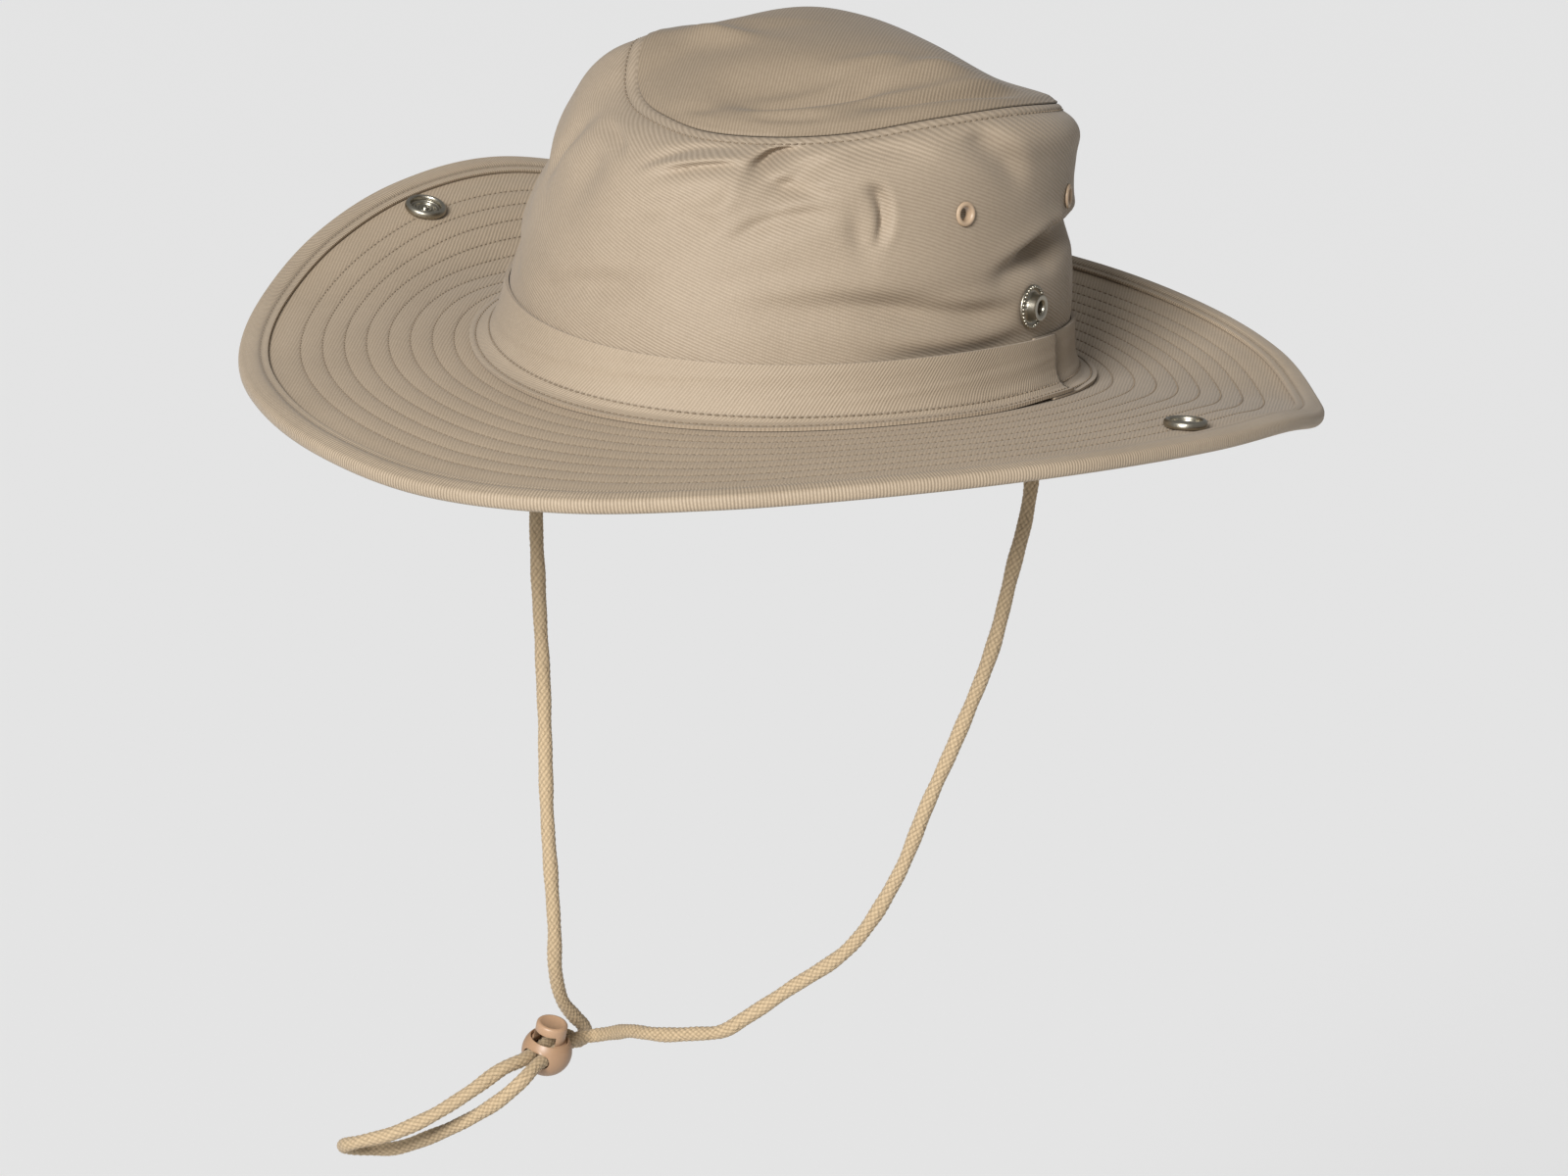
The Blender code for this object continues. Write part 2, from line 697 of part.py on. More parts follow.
def make_eyelet(name, crown, angle, material):
    """A flanged eyelet set through the crown's wall."""
    point, normal = wall_frame(angle, EYELET_UP)
    hole = EYELET_HOLE / 2
    rim = EYELET_DIAMETER / 2
    neck = EYELET_NECK / 2
    back = -CLOTH - BACK_SEAT
    front = FRONT_SEAT + EYELET_FLANGE
    profile = [
        (hole, back - EYELET_FLANGE * 0.7),
        (rim * 0.92, back - EYELET_FLANGE * 0.7),
        (rim * 0.92, back),
        (neck, back),
        (neck, FRONT_SEAT),
        (rim, FRONT_SEAT),
        (rim * 0.96, front - EYELET_FLANGE * 0.3),
        ((rim + hole) / 2, front),
        (hole, front - EYELET_FLANGE * 0.35),
    ]
    eyelet = turned_solid(name, profile, ROUND_SIDES, material)
    place_on(eyelet, point, normal)
    drill(crown, name + "_hole", EYELET_NECK + 2 * NECK_CLEARANCE, point, normal, EYELET_DIAMETER)
    return eyelet


def make_stud(name, crown, angle, material):
    """A snap stud: ringed flange and hollow post outside, cap inside, set through the wall."""
    point, normal = wall_frame(angle, STUD_UP)
    back = -CLOTH - BACK_SEAT
    ring = FRONT_SEAT + STUD_RING
    post = STUD_POST_DIAMETER / 2
    top = FRONT_SEAT + STUD_POST_HEIGHT
    profile = [
        (0, back - SNAP_CAP_HEIGHT),
        (SNAP_CAP_DIAMETER * 0.32, back - SNAP_CAP_HEIGHT),
        (SNAP_CAP_DIAMETER / 2, back - SNAP_CAP_HEIGHT * 0.4),
        (SNAP_CAP_DIAMETER / 2, back),
        (SNAP_NECK / 2, back),
        (SNAP_NECK / 2, FRONT_SEAT),
        (STUD_DIAMETER / 2, FRONT_SEAT),
        (STUD_DIAMETER / 2, ring),
        (post, ring),
        (post, top - SNAP_CAP_HEIGHT * 0.5),
        (post * 0.85, top),
        (STUD_HOLE / 2, top),
        (STUD_HOLE / 2, ring),
        (0, ring),
    ]
    stud = turned_solid(name, profile, ROUND_SIDES, material)
    place_on(stud, point, normal)
    drill(crown, name + "_hole", SNAP_NECK + 2 * NECK_CLEARANCE, point, normal, SNAP_CAP_DIAMETER)
    return stud


def make_socket(name, brim, angle, material):
    """A snap socket on top of the brim, with its cap underneath."""
    reach = binding_start() - SOCKET_TO_BINDING - SOCKET_DIAMETER / 2
    point = brim_point(angle, reach, BRIM_THICKNESS / 2)
    normal = brim_normal(angle, reach)
    back = -BRIM_THICKNESS - BACK_SEAT
    top = FRONT_SEAT + SOCKET_HEIGHT
    profile = [
        (0, back - SNAP_CAP_HEIGHT),
        (SNAP_CAP_DIAMETER * 0.32, back - SNAP_CAP_HEIGHT),
        (SNAP_CAP_DIAMETER / 2, back - SNAP_CAP_HEIGHT * 0.4),
        (SNAP_CAP_DIAMETER / 2, back),
        (SNAP_NECK / 2, back),
        (SNAP_NECK / 2, FRONT_SEAT),
        (SOCKET_DIAMETER / 2, FRONT_SEAT),
        (SOCKET_DIAMETER / 2, FRONT_SEAT + SOCKET_HEIGHT * 0.35),
        (SOCKET_DIAMETER * 0.40, top),
        (SOCKET_RECESS / 2, top),
        (SOCKET_RECESS / 2 * 0.9, FRONT_SEAT + SOCKET_HEIGHT * 0.35),
        (0, FRONT_SEAT + SOCKET_HEIGHT * 0.35),
    ]
    socket = turned_solid(name, profile, ROUND_SIDES, material)
    place_on(socket, point, normal)
    drill(brim, name + "_hole", SNAP_NECK + 2 * NECK_CLEARANCE, point, normal, SNAP_CAP_DIAMETER)
    return socket


def tab_axis(angle):
    """Where the cord's end stands inside a tab, and the outward direction there."""
    height = TAB_DEPTH / 2
    wall = wall_point(angle, wall_share(angle, height), 0.0)
    _, normal = oval_point(HEAD_HALF_WIDTH, HEAD_HALF_LENGTH, angle, 0.0)
    inward = TAB_SEAT + TAB_WALL + CORD_CLEARANCE + CORD_DIAMETER / 2
    place = wall - normal * inward
    return Vector((place.x, place.y, opening_lift(angle))), normal


def make_tab(name, angle, material):
    """A folded tape tab on the inside of the crown, open below for the cord's end."""
    axis, normal = tab_axis(angle)
    half = TAB_WALL + CORD_CLEARANCE + CORD_DIAMETER / 2
    bm = bmesh.new()
    bmesh.ops.create_cube(bm, size=1.0)
    bmesh.ops.scale(bm, vec=(2 * half, 2 * half, TAB_HEIGHT), verts=bm.verts)
    bmesh.ops.translate(bm, vec=(0, 0, TAB_HEIGHT / 2), verts=bm.verts)
    upright = [e for e in bm.edges if abs(e.verts[0].co.z - e.verts[1].co.z) > TAB_HEIGHT / 2]
    bmesh.ops.bevel(bm, geom=upright, offset=half * 0.45, segments=2, affect="EDGES", profile=0.5)
    tab = close_mesh(name, bm, material)
    tab.location = axis
    tab.rotation_euler = (0, 0, math.atan2(normal.y, normal.x))
    bore = CORD_DIAMETER / 2 + CORD_CLEARANCE
    drill(tab, name + "_bore", 2 * bore, axis, Vector((0, 0, 1)), TAB_DEPTH + CORD_CLEARANCE)
    return tab


def stopper_matrix():
    """Place and turn of the stopper: Z is the push direction reversed, -Y where the tail leaves."""
    return Matrix.Translation(STOPPER_PLACE) @ STOPPER_TURN.to_matrix().to_4x4()


def strand_shift():
    """How far each strand in the stopper stands to the side of its middle."""
    return CORD_DIAMETER / 2 + CORD_CLEARANCE / 2


def strand_points(side):
    """Straight run of a strand through the stopper, back to front."""
    x = side * strand_shift()
    runs = [STRAIGHT_RUN, STRAIGHT_RUN / 3, -STRAIGHT_RUN / 3, -STRAIGHT_RUN]
    return [stopper_matrix() @ Vector((x, y, 0.0)) for y in runs]


def in_tab(angle, rise):
    """Point of the cord's straight end in a tab, rise metres over the opening's edge."""
    axis, _ = tab_axis(angle)
    return axis + Vector((0, 0, rise))


def cord_route():
    """The cord's route points from below the right tab to below the left one."""
    down = [in_tab(TAB_RIGHT_ANGLE, -TAB_WALL)] + [Vector(p) for p in CORD_DOWN]
    tail = [Vector(p) for p in CORD_TAIL]
    up = [Vector(p) for p in CORD_UP] + [in_tab(TAB_LEFT_ANGLE, -TAB_WALL)]
    return down + strand_points(-1) + tail + strand_points(1)[::-1] + up


def between(a, b, start, end, place):
    """The point at a place between a, which is at start, and b, which is at end."""
    return a.lerp(b, (place - start) / (end - start))


def smooth_curve(points):
    """Points along a centripetal spline through the route's points."""
    ends = [points[0] * 2 - points[1]] + points + [points[-1] * 2 - points[-2]]
    curve = []
    for i in range(1, len(ends) - 2):
        p = ends[i - 1 : i + 3]
        t = [0.0]
        for a, b in zip(p, p[1:]):
            t.append(t[-1] + math.sqrt((b - a).length))
        for u in np.linspace(t[1], t[2], CURVE_STEPS, endpoint=False):
            first = [between(p[k], p[k + 1], t[k], t[k + 1], u) for k in range(3)]
            second = [between(first[k], first[k + 1], t[k], t[k + 2], u) for k in range(2)]
            curve.append(between(second[0], second[1], t[1], t[2], u))
    return curve + [points[-1]]


def spread_points(curve):
    """Points read off a curve a step apart, closer where it bends, both ends kept."""
    runs = [b - a for a, b in zip(curve, curve[1:])]
    turns = [0.0] + [a.angle(b) for a, b in zip(runs, runs[1:])]
    weights = [run.length / CORD_STEP + turn / CORD_TURN for run, turn in zip(runs, turns)]
    places = np.cumsum([0.0] + weights)
    wanted = np.linspace(0.0, places[-1], round(places[-1]) + 1)
    columns = [np.interp(wanted, places, [p[k] for p in curve]) for k in range(3)]
    return [Vector(p) for p in zip(*columns)]


def make_cord(material):
    """The chin cord, one length from tab to tab, doubled through the stopper."""
    hanging = spread_points(smooth_curve(cord_route()))
    points = [in_tab(TAB_RIGHT_ANGLE, TAB_DEPTH)] + hanging + [in_tab(TAB_LEFT_ANGLE, TAB_DEPTH)]
    curve = bpy.data.curves.new("chin_cord", "CURVE")
    curve.dimensions = "3D"
    curve.bevel_depth = CORD_DIAMETER / 2
    curve.bevel_resolution = 2
    curve.use_fill_caps = True
    spline = curve.splines.new("POLY")
    spline.points.add(len(points) - 1)
    for point, place in zip(spline.points, points):
        point.co = (*place, 1.0)
    return add_object("chin_cord", curve, material)


def slot_cutter(name, stretch, material):
    """A rounded slot along Y that both strands fit, stretched upward by the travel."""
    radius = CORD_DIAMETER / 2 + CORD_CLEARANCE
    outline = []
    for degrees in range(-90, 91, 30):
        turn = math.radians(degrees)
        high = stretch if turn > 0 else 0.0
        outline.append((strand_shift() + radius * math.cos(turn), high + radius * math.sin(turn)))
    outline += [(-x, z) for x, z in outline[::-1]]
    bm = bmesh.new()
    ends = (-BALL_DIAMETER, BALL_DIAMETER)
    rows = [[bm.verts.new((x, y, z)) for x, z in outline] for y in ends]
    bridge_rows(bm, rows, False, True)
    bm.faces.new(rows[0])
    bm.faces.new(rows[-1])
    cutter = close_mesh(name, bm, material)
    cutter.matrix_world = stopper_matrix()
    return cutter


def make_barrel(material):
    """The stopper's ball, bored from the top for its plunger and across for the cord."""
    radius = BALL_DIAMETER / 2
    bore = BORE_DIAMETER / 2
    lip = math.asin(BALL_LIP / radius)
    turns = np.linspace(-math.pi / 2, lip, BALL_ARCS + 1)[1:]
    ball = [(radius * math.cos(t), radius * math.sin(t)) for t in turns]
    bore_points = [
        (bore, BALL_LIP),
        (bore, -BORE_FLOOR + CHAMFER_RISE),
        (bore - CHAMFER_RUN, -BORE_FLOOR),
        (0, -BORE_FLOOR),
    ]
    barrel = turned_solid("stopper_barrel", [(0, -radius)] + ball + bore_points, BALL_SIDES, material)
    barrel.matrix_world = stopper_matrix()
    cut(barrel, slot_cutter("barrel_slot", 0.0, material))
    return barrel


def make_plunger(material):
    """The stopper's push button, slotted so that the cord clears it through its travel."""
    radius = BORE_DIAMETER / 2 - PLUNGER_CLEARANCE
    profile = [
        (0, -PLUNGER_FOOT),
        (radius - CHAMFER_RUN, -PLUNGER_FOOT),
        (radius, -PLUNGER_FOOT + CHAMFER_RISE),
        (radius, PLUNGER_TOP - PLUNGER_ROUND),
        (radius - PLUNGER_ROUND * 0.3, PLUNGER_TOP - PLUNGER_ROUND * 0.3),
        (radius - PLUNGER_ROUND, PLUNGER_TOP),
        (0, PLUNGER_TOP),
    ]
    plunger = turned_solid("stopper_plunger", profile, BALL_SIDES, material)
    plunger.matrix_world = stopper_matrix()
    cut(plunger, slot_cutter("plunger_slot", PLUNGER_TRAVEL, material))
    return plunger


def main():
    """Build the hat."""
    for thing in list(bpy.data.objects):
        bpy.data.objects.remove(thing)
    drill_cloth = make_material("khaki_drill", (0.53, 0.43, 0.30), 0.92)
    tip_cloth = make_material("khaki_drill_tip", (0.55, 0.45, 0.32), 0.92)
    brim_cloth = make_material("khaki_drill_brim", (0.50, 0.40, 0.28), 0.92)
    band_cloth = make_material("khaki_drill_band", (0.49, 0.39, 0.27), 0.92)
    bias_cloth = make_material("khaki_bias", (0.47, 0.37, 0.25), 0.92)
    tape = make_material("khaki_tape", (0.45, 0.36, 0.25), 0.92)
    painted_brass = make_material("painted_brass", (0.52, 0.40, 0.26), 0.45)
    nickel = make_material("aged_nickel", (0.42, 0.40, 0.35), 0.38, 1.0)
    cord_cotton = make_material("braided_cotton", (0.56, 0.43, 0.28), 0.95)
    shell_plastic = make_material("beige_plastic", (0.60, 0.42, 0.27), 0.42)
    button_plastic = make_material("beige_button_plastic", (0.62, 0.44, 0.29), 0.40)

    crown = make_crown_side(drill_cloth)
    make_crown_tip(tip_cloth)
    brim = make_brim(brim_cloth)
    make_binding(bias_cloth)
    make_band(band_cloth)
    for side, middle in (("left", EYELET_MIDDLE), ("right", 180.0 - EYELET_MIDDLE)):
        toward_front = -1 if side == "left" else 1
        front = middle + toward_front * EYELET_SPREAD
        back = middle - toward_front * EYELET_SPREAD
        make_eyelet("eyelet_front_" + side, crown, front, painted_brass)
        make_eyelet("eyelet_back_" + side, crown, back, painted_brass)
    make_stud("crown_stud_left", crown, STUD_ANGLE, nickel)
    make_stud("crown_stud_right", crown, 180.0 - STUD_ANGLE, nickel)
    make_socket("brim_socket_left", brim, SOCKET_ANGLE, nickel)
    make_socket("brim_socket_right", brim, 180.0 + SOCKET_ANGLE, nickel)
    make_tab("cord_tab_left", TAB_LEFT_ANGLE, tape)
    make_tab("cord_tab_right", TAB_RIGHT_ANGLE, tape)
    make_cord(cord_cotton)
    make_barrel(shell_plastic)
    make_plunger(button_plastic)


main()
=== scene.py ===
import math
from functools import partial

import bpy
import numpy as np
from mathutils import Euler, Matrix, Vector


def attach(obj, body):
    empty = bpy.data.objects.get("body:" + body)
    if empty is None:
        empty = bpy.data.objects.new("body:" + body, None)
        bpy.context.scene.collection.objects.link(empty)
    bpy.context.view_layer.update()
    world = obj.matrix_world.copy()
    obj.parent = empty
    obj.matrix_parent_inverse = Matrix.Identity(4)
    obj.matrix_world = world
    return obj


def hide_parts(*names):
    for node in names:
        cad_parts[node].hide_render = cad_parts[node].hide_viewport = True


# %% [markdown]
# A khaki bush hat hangs in the air as if someone wore it, with its chin cord below. The packed
# solids give its sizes and its place, and this lesson dresses them: each cloth panel is made again
# with the folds, stitches and weave that the plain solids leave out.

# %% The frame
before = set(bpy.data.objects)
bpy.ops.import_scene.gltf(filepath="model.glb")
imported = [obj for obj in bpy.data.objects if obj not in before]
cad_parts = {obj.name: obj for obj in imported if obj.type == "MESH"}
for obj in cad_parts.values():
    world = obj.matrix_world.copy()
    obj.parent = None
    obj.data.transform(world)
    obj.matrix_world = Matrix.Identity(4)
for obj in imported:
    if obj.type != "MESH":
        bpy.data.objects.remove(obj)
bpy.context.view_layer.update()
BODY = "hat"
print("frame:", len(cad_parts), "nodes")

# %% [markdown]
# The camera stands in front of the hat and a little above it, turned toward the wearer's left, and
# is rolled slightly, which is why the crown leans in the picture. A long lens from two metres gives
# the flat look of a product picture.

# %% Camera
def link_new(name, data):
    """A new object in the scene."""
    thing = bpy.data.objects.new(name, data)
    bpy.context.scene.collection.objects.link(thing)
    return thing


VIEW_AZIMUTH = math.radians(35)
VIEW_ELEVATION = math.radians(15)
VIEW_ROLL = math.radians(6.4)
VIEW_DISTANCE = 2.2
PIXELS_PER_METRE = 3130
PICTURE = (1600, 1200)
OPENING_AT = (801, 365)
SENSOR_WIDTH = 36.0


def add_camera():
    """Place the camera so that the opening's middle falls on its pixel."""
    a, e = VIEW_AZIMUTH, VIEW_ELEVATION
    back = Vector((math.sin(a) * math.cos(e), -math.cos(a) * math.cos(e), math.sin(e)))
    level = Vector((math.cos(a), math.sin(a), 0))
    rise = back.cross(level)
    right = level * math.cos(VIEW_ROLL) + rise * math.sin(VIEW_ROLL)
    up = rise * math.cos(VIEW_ROLL) - level * math.sin(VIEW_ROLL)
    across = (OPENING_AT[0] - PICTURE[0] / 2) / PIXELS_PER_METRE
    down = (OPENING_AT[1] - PICTURE[1] / 2) / PIXELS_PER_METRE
    place = back * VIEW_DISTANCE - right * across + up * down
    lens = bpy.data.cameras.new("camera")
    lens.sensor_width = SENSOR_WIDTH
    lens.lens = PIXELS_PER_METRE * VIEW_DISTANCE * SENSOR_WIDTH / PICTURE[0]
    camera = link_new("camera", lens)
    camera.matrix_world = Matrix.Translation(place) @ Matrix((right, up, back)).transposed().to_4x4()
    bpy.context.scene.camera = camera
    print("camera: lens", round(lens.lens, 1), "mm")


add_camera()

# %% [markdown]
# Every length is in metres and repeats the part's own size, so that each cloth piece lies where its
# solid lies. A few tables describe how the crown narrows and leans and how the brim waves, and a
# smooth curve through their rows fills in the rest.

# %% Sizes
HEAD_HALF_WIDTH = 0.0846
HEAD_HALF_LENGTH = 0.1006
CROWN_HEIGHT = 0.095
TIP_RISE = 0.0175
TIP_LEVEL = 0.96
LEAN = 0.0125
LEAN_TURN = math.radians(66)
OPENING_SADDLE = 0.0034
CLOTH = 0.0014
GAP = 0.0003
SEAM_ALLOWANCE = 0.0060
TIP_INSET = 0.0004
BRIM_BREADTH = 0.0830
BRIM_SKEW = 0.012
BRIM_SKEW_TURN = math.radians(45)
BRIM_THICKNESS = 0.0024
COLLAR_HEIGHT = 0.0110
COLLAR_THICKNESS = 0.0012
COLLAR_FILLET = 0.0012
BINDING_WIDTH = 0.0095
BINDING_THICKNESS = 0.0011
BAND_HEIGHT = 0.0205
BAND_THICKNESS = 0.0012
BAND_BREAK = 0.0075
BAND_FLARE = 0.0085
STATION = 360.0 / 44
EYELET_MIDDLE = 5.5
EYELET_SPREAD = 20.5
EYELET_UP = 0.690
STUD_ANGLE = 6.5
STUD_UP = 0.338
SOCKET_ANGLE = 1.5
SOCKET_TO_BINDING = 0.0021
SOCKET_DIAMETER = 0.0136
FLAT_ROUND_METAL = 0.0085
FOLDS_START = 0.0190
METAL_EDGE = 0.0042
CREASES_START = 0.0105
CREASES_TOP = 0.99
CREASES_FADE = 0.035
SEAM_SHARE = SEAM_ALLOWANCE / CROWN_HEIGHT

CROWN_SECTIONS = (
    # up    width  length lean
    (0.00, 1.000, 1.000, 0.00),
    (0.12, 1.000, 1.000, 0.00),
    (0.31, 0.990, 0.990, 0.02),
    (0.42, 0.976, 0.977, 0.05),
    (0.53, 0.955, 0.957, 0.10),
    (0.63, 0.932, 0.935, 0.20),
    (0.74, 0.911, 0.915, 0.30),
    (0.84, 0.888, 0.893, 0.46),
    (0.90, 0.862, 0.868, 0.60),
    (0.95, 0.820, 0.827, 0.76),
    (1.00, 0.740, 0.748, 1.00),
)
SEAM_HEIGHTS = (
    # angle  height
    (-180, 1.020), (-165, 1.030), (-150, 1.035), (-141, 0.990),
    (-131, 0.925), (-120, 0.892), (-105, 0.878), (-90, 0.870),
    (-70, 0.892), (-50, 0.930), (-25, 0.994), (0, 1.014),
    (30, 0.972), (60, 0.895), (90, 0.885), (120, 0.925),
    (150, 0.985),
)
BRIM_SECTIONS = (
    # angle  inner   outer   rim
    (-180, -0.010, 0.125, 0.207),
    (-165, -0.010, 0.040, 0.077),
    (-150, -0.020, -0.040, -0.067),
    (-135, -0.030, -0.080, -0.147),
    (-120, -0.040, -0.100, -0.162),
    (-105, -0.040, -0.105, -0.177),
    (-90, -0.040, -0.105, -0.178),
    (-75, -0.028, -0.074, -0.125),
    (-60, -0.008, -0.026, -0.042),
    (-45, 0.012, 0.022, 0.029),
    (-30, 0.027, 0.053, 0.074),
    (-15, 0.032, 0.065, 0.097),
    (0, 0.035, 0.070, 0.100),
    (15, 0.030, 0.058, 0.087),
    (30, 0.010, 0.012, 0.015),
    (45, 0.000, -0.015, -0.029),
    (60, 0.010, 0.022, 0.038),
    (75, 0.025, 0.058, 0.093),
    (90, 0.035, 0.080, 0.134),
    (105, 0.035, 0.090, 0.152),
    (120, 0.030, 0.095, 0.173),
    (135, 0.020, 0.105, 0.200),
    (150, 0.010, 0.130, 0.245),
    (165, 0.000, 0.160, 0.281),
)
CROWN_FOLDS = (
    # angle  up    turn  long   wide   relief
    (-56, 0.86, 39, 0.135, 0.060, -0.045),
    (-81, 0.77, 17, 0.210, 0.040, -0.018),
    (-39, 0.67, -61, 0.090, 0.040, -0.018),
    (-57, 0.53, 7, 0.270, 0.060, -0.012),
    (-30, 0.41, 2, 0.380, 0.050, -0.018),
    (14, 0.52, 16, 0.190, 0.060, -0.045),
    (-12, 0.90, -22, 0.180, 0.060, -0.018),
    (-111, 0.78, 60, 0.120, 0.100, -0.025),
    (-69, 0.83, 75, 0.080, 0.050, 0.020),
    (58, 0.45, -8, 0.250, 0.060, -0.022),
    (68, 0.80, 25, 0.180, 0.060, -0.025),
    (102, 0.55, -20, 0.300, 0.070, -0.030),
    (140, 0.76, 35, 0.200, 0.060, -0.028),
    (176, 0.52, 10, 0.260, 0.060, -0.020),
    (-148, 0.60, -30, 0.200, 0.060, -0.025),
)
TIP_FOLDS = (
    # x      y      turn  long   wide   relief
    (0.05, -0.80, 35, 0.280, 0.060, -0.020),
    (-0.45, -0.42, 0, 0.220, 0.060, 0.014),
    (0.78, -0.25, 70, 0.330, 0.045, -0.022),
    (0.54, -0.24, 66, 0.260, 0.060, 0.012),
    (-0.30, 0.50, -20, 0.330, 0.070, -0.016),
    (0.48, 0.48, -38, 0.420, 0.210, -0.060),
    (-0.05, 0.82, -8, 0.300, 0.120, -0.020),
    (-0.80, 0.02, 88, 0.380, 0.150, -0.055),
    (-0.46, 0.12, 60, 0.300, 0.200, 0.026),
)

# %% [markdown]
# Large folds come from the part. The photograph also shows sharper creases, where the drill has
# been pressed together: narrow valleys with one side raised. Each is a line through a few places,
# with a width and a depth in millimetres, so that a crease can be moved by changing one row.

# %% Creases
CROWN_CREASES = (
    # width, depth, lip, line of (angle, up)
    (5.0, 5.6, -0.3, ((-54, 1.000), (-60, 0.968), (-66, 0.935), (-67, 0.900), (-63, 0.865))),
    (2.2, 2.2, -0.5, ((-58, 0.985), (-65, 0.950), (-67, 0.915), (-63, 0.880))),
    (2.0, 2.6, 0.6, ((-65, 0.950), (-76, 0.960), (-84, 0.948), (-91, 0.915), (-97, 0.850))),
    (1.8, 2.2, -0.6, ((-66, 0.922), (-76, 0.915), (-84, 0.893), (-92, 0.850))),
    (2.0, 1.7, 0.5, ((-67, 0.900), (-59, 0.855), (-52, 0.830), (-44, 0.810))),
    (2.1, 3.4, 0.15, ((-41, 0.840), (-36.5, 0.800), (-34, 0.735), (-33.5, 0.665), (-35, 0.595))),
    (3.6, 1.8, 0.2, ((-84, 0.745), (-76, 0.720), (-67, 0.705))),
    (3.4, 2.3, 0.3, ((-68, 0.640), (-61, 0.715), (-52, 0.750), (-42, 0.735))),
    (4.8, 1.6, 0.3, ((-70, 0.430), (-54, 0.440), (-40, 0.430), (-28, 0.405), (-14, 0.370))),
    (3.8, 2.6, 0.5, ((-40, 0.415), (-28, 0.385), (-16, 0.360), (-6, 0.345), (4, 0.350))),
    (4.0, 2.3, 0.4, ((-38, 0.255), (-25, 0.225), (-13, 0.215), (0, 0.225), (14, 0.250))),
    (3.8, 4.4, 0.5, ((-10, 0.450), (2, 0.495), (14, 0.545), (26, 0.580), (42, 0.600), (66, 0.640))),
    (4.2, 2.4, 0.3, ((-18, 0.980), (-6, 0.880), (4, 0.760))),
    (5.0, 3.4, 0.2, ((-122, 0.930), (-128, 0.840), (-131, 0.740), (-130, 0.630))),
    (1.8, 1.4, 0.5, ((-122, 0.940), (-110, 0.920), (-100, 0.880))),
    (5.5, 2.2, 0.2, ((-118, 0.320), (-95, 0.440), (-78, 0.490))),
    (2.4, 1.4, 0.4, ((-54, 0.965), (-38, 0.945), (-24, 0.905))),
    (6.0, -2.2, 0.0, ((-16, 0.930), (14, 0.925), (60, 0.900))),
    (4.0, 2.4, 0.5, ((60, 0.420), (80, 0.470), (104, 0.440))),
    (3.0, 2.2, 0.5, ((104, 0.920), (116, 0.790), (132, 0.680))),
    (4.5, 2.2, 0.4, ((144, 0.370), (160, 0.450), (188, 0.510))),
    (3.0, 2.2, 0.5, ((196, 0.810), (212, 0.700), (226, 0.620))),
    (2.6, 1.8, 0.5, ((98, 0.950), (86, 0.820), (80, 0.700))),
    (4.0, 1.8, 0.3, ((206, 0.330), (222, 0.360), (236, 0.330))),
)
TIP_CREASES = (
    # width, depth, lip, line of (x, y)
    (9.0, 5.4, 0.0, ((-0.38, -0.80), (0.02, -0.74), (0.34, -0.58), (0.60, -0.30), (0.74, 0.04))),
    (2.5, 1.6, 0.3, ((-0.33, -0.95), (-0.16, -0.93), (0.00, -0.88))),
    (3.2, 3.4, 0.6, ((-0.02, -0.86), (0.24, -0.74), (0.44, -0.55), (0.52, -0.28))),
    (4.0, -2.4, 0.0, ((-0.70, -0.42), (-0.45, -0.46), (-0.22, -0.43))),
    (1.9, 1.8, 0.5, ((0.12, -0.92), (0.36, -0.84), (0.57, -0.72))),
    (2.6, 3.2, 0.7, ((0.50, -0.74), (0.70, -0.45), (0.82, -0.18), (0.86, 0.05), (0.82, 0.30))),
    (4.0, -2.6, 0.0, ((0.41, -0.56), (0.58, -0.24), (0.69, 0.08))),
    (4.0, -1.8, 0.0, ((0.20, -0.58), (0.38, -0.36), (0.51, -0.12))),
    (4.5, 2.0, 0.3, ((-0.54, 0.28), (-0.20, 0.44), (0.14, 0.50))),
    (3.4, 1.5, 0.3, ((-0.22, 0.77), (0.05, 0.72), (0.32, 0.61))),
)
CHAIN_PLACES = 40
CHAIN_FADE = 0.35


def blend(start, end, slope_a, slope_b, s):
    """A smooth way from start to end, s from 0 to 1, with a slope at either end."""
    rise = s * s * (3 - 2 * s)
    return start * (1 - rise) + end * rise + slope_a * s * (1 - s) ** 2 + slope_b * (s**3 - s**2)


def smooth_read(places, values, wanted):
    """Smooth curve through table rows, read at the wanted places."""
    x, v = np.asarray(places, float), np.asarray(values, float)
    slope = np.empty_like(v)
    slope[1:-1] = (v[2:] - v[:-2]) / (x[2:] - x[:-2])
    slope[0] = (v[1] - v[0]) / (x[1] - x[0])
    slope[-1] = (v[-1] - v[-2]) / (x[-1] - x[-2])
    q = np.clip(wanted, x[0], x[-1])
    i = np.clip(np.searchsorted(x, q, side="right") - 1, 0, len(x) - 2)
    span = x[i + 1] - x[i]
    return blend(v[i], v[i + 1], span * slope[i], span * slope[i + 1], (q - x[i]) / span)


def round_read(table, column, angle):
    """A table that goes once round the hat, read at angles in degrees."""
    x, v = np.array(table, float)[:, (0, column)].T
    x = np.concatenate([x[-2:] - 360, x, x[:3] + 360])
    v = np.concatenate([v[-2:], v, v[:3]])
    return smooth_read(x, v, (np.asarray(angle, float) + 180) % 360 - 180)


def section_read(column, up):
    """A column of the crown's sections, read at shares of its height."""
    rows = np.array(CROWN_SECTIONS)
    return smooth_read(rows[:, 0], rows[:, column], up)


def ease(share):
    """A soft step from 0 to 1."""
    share = np.clip(share, 0.0, 1.0)
    return share * share * (3 - 2 * share)


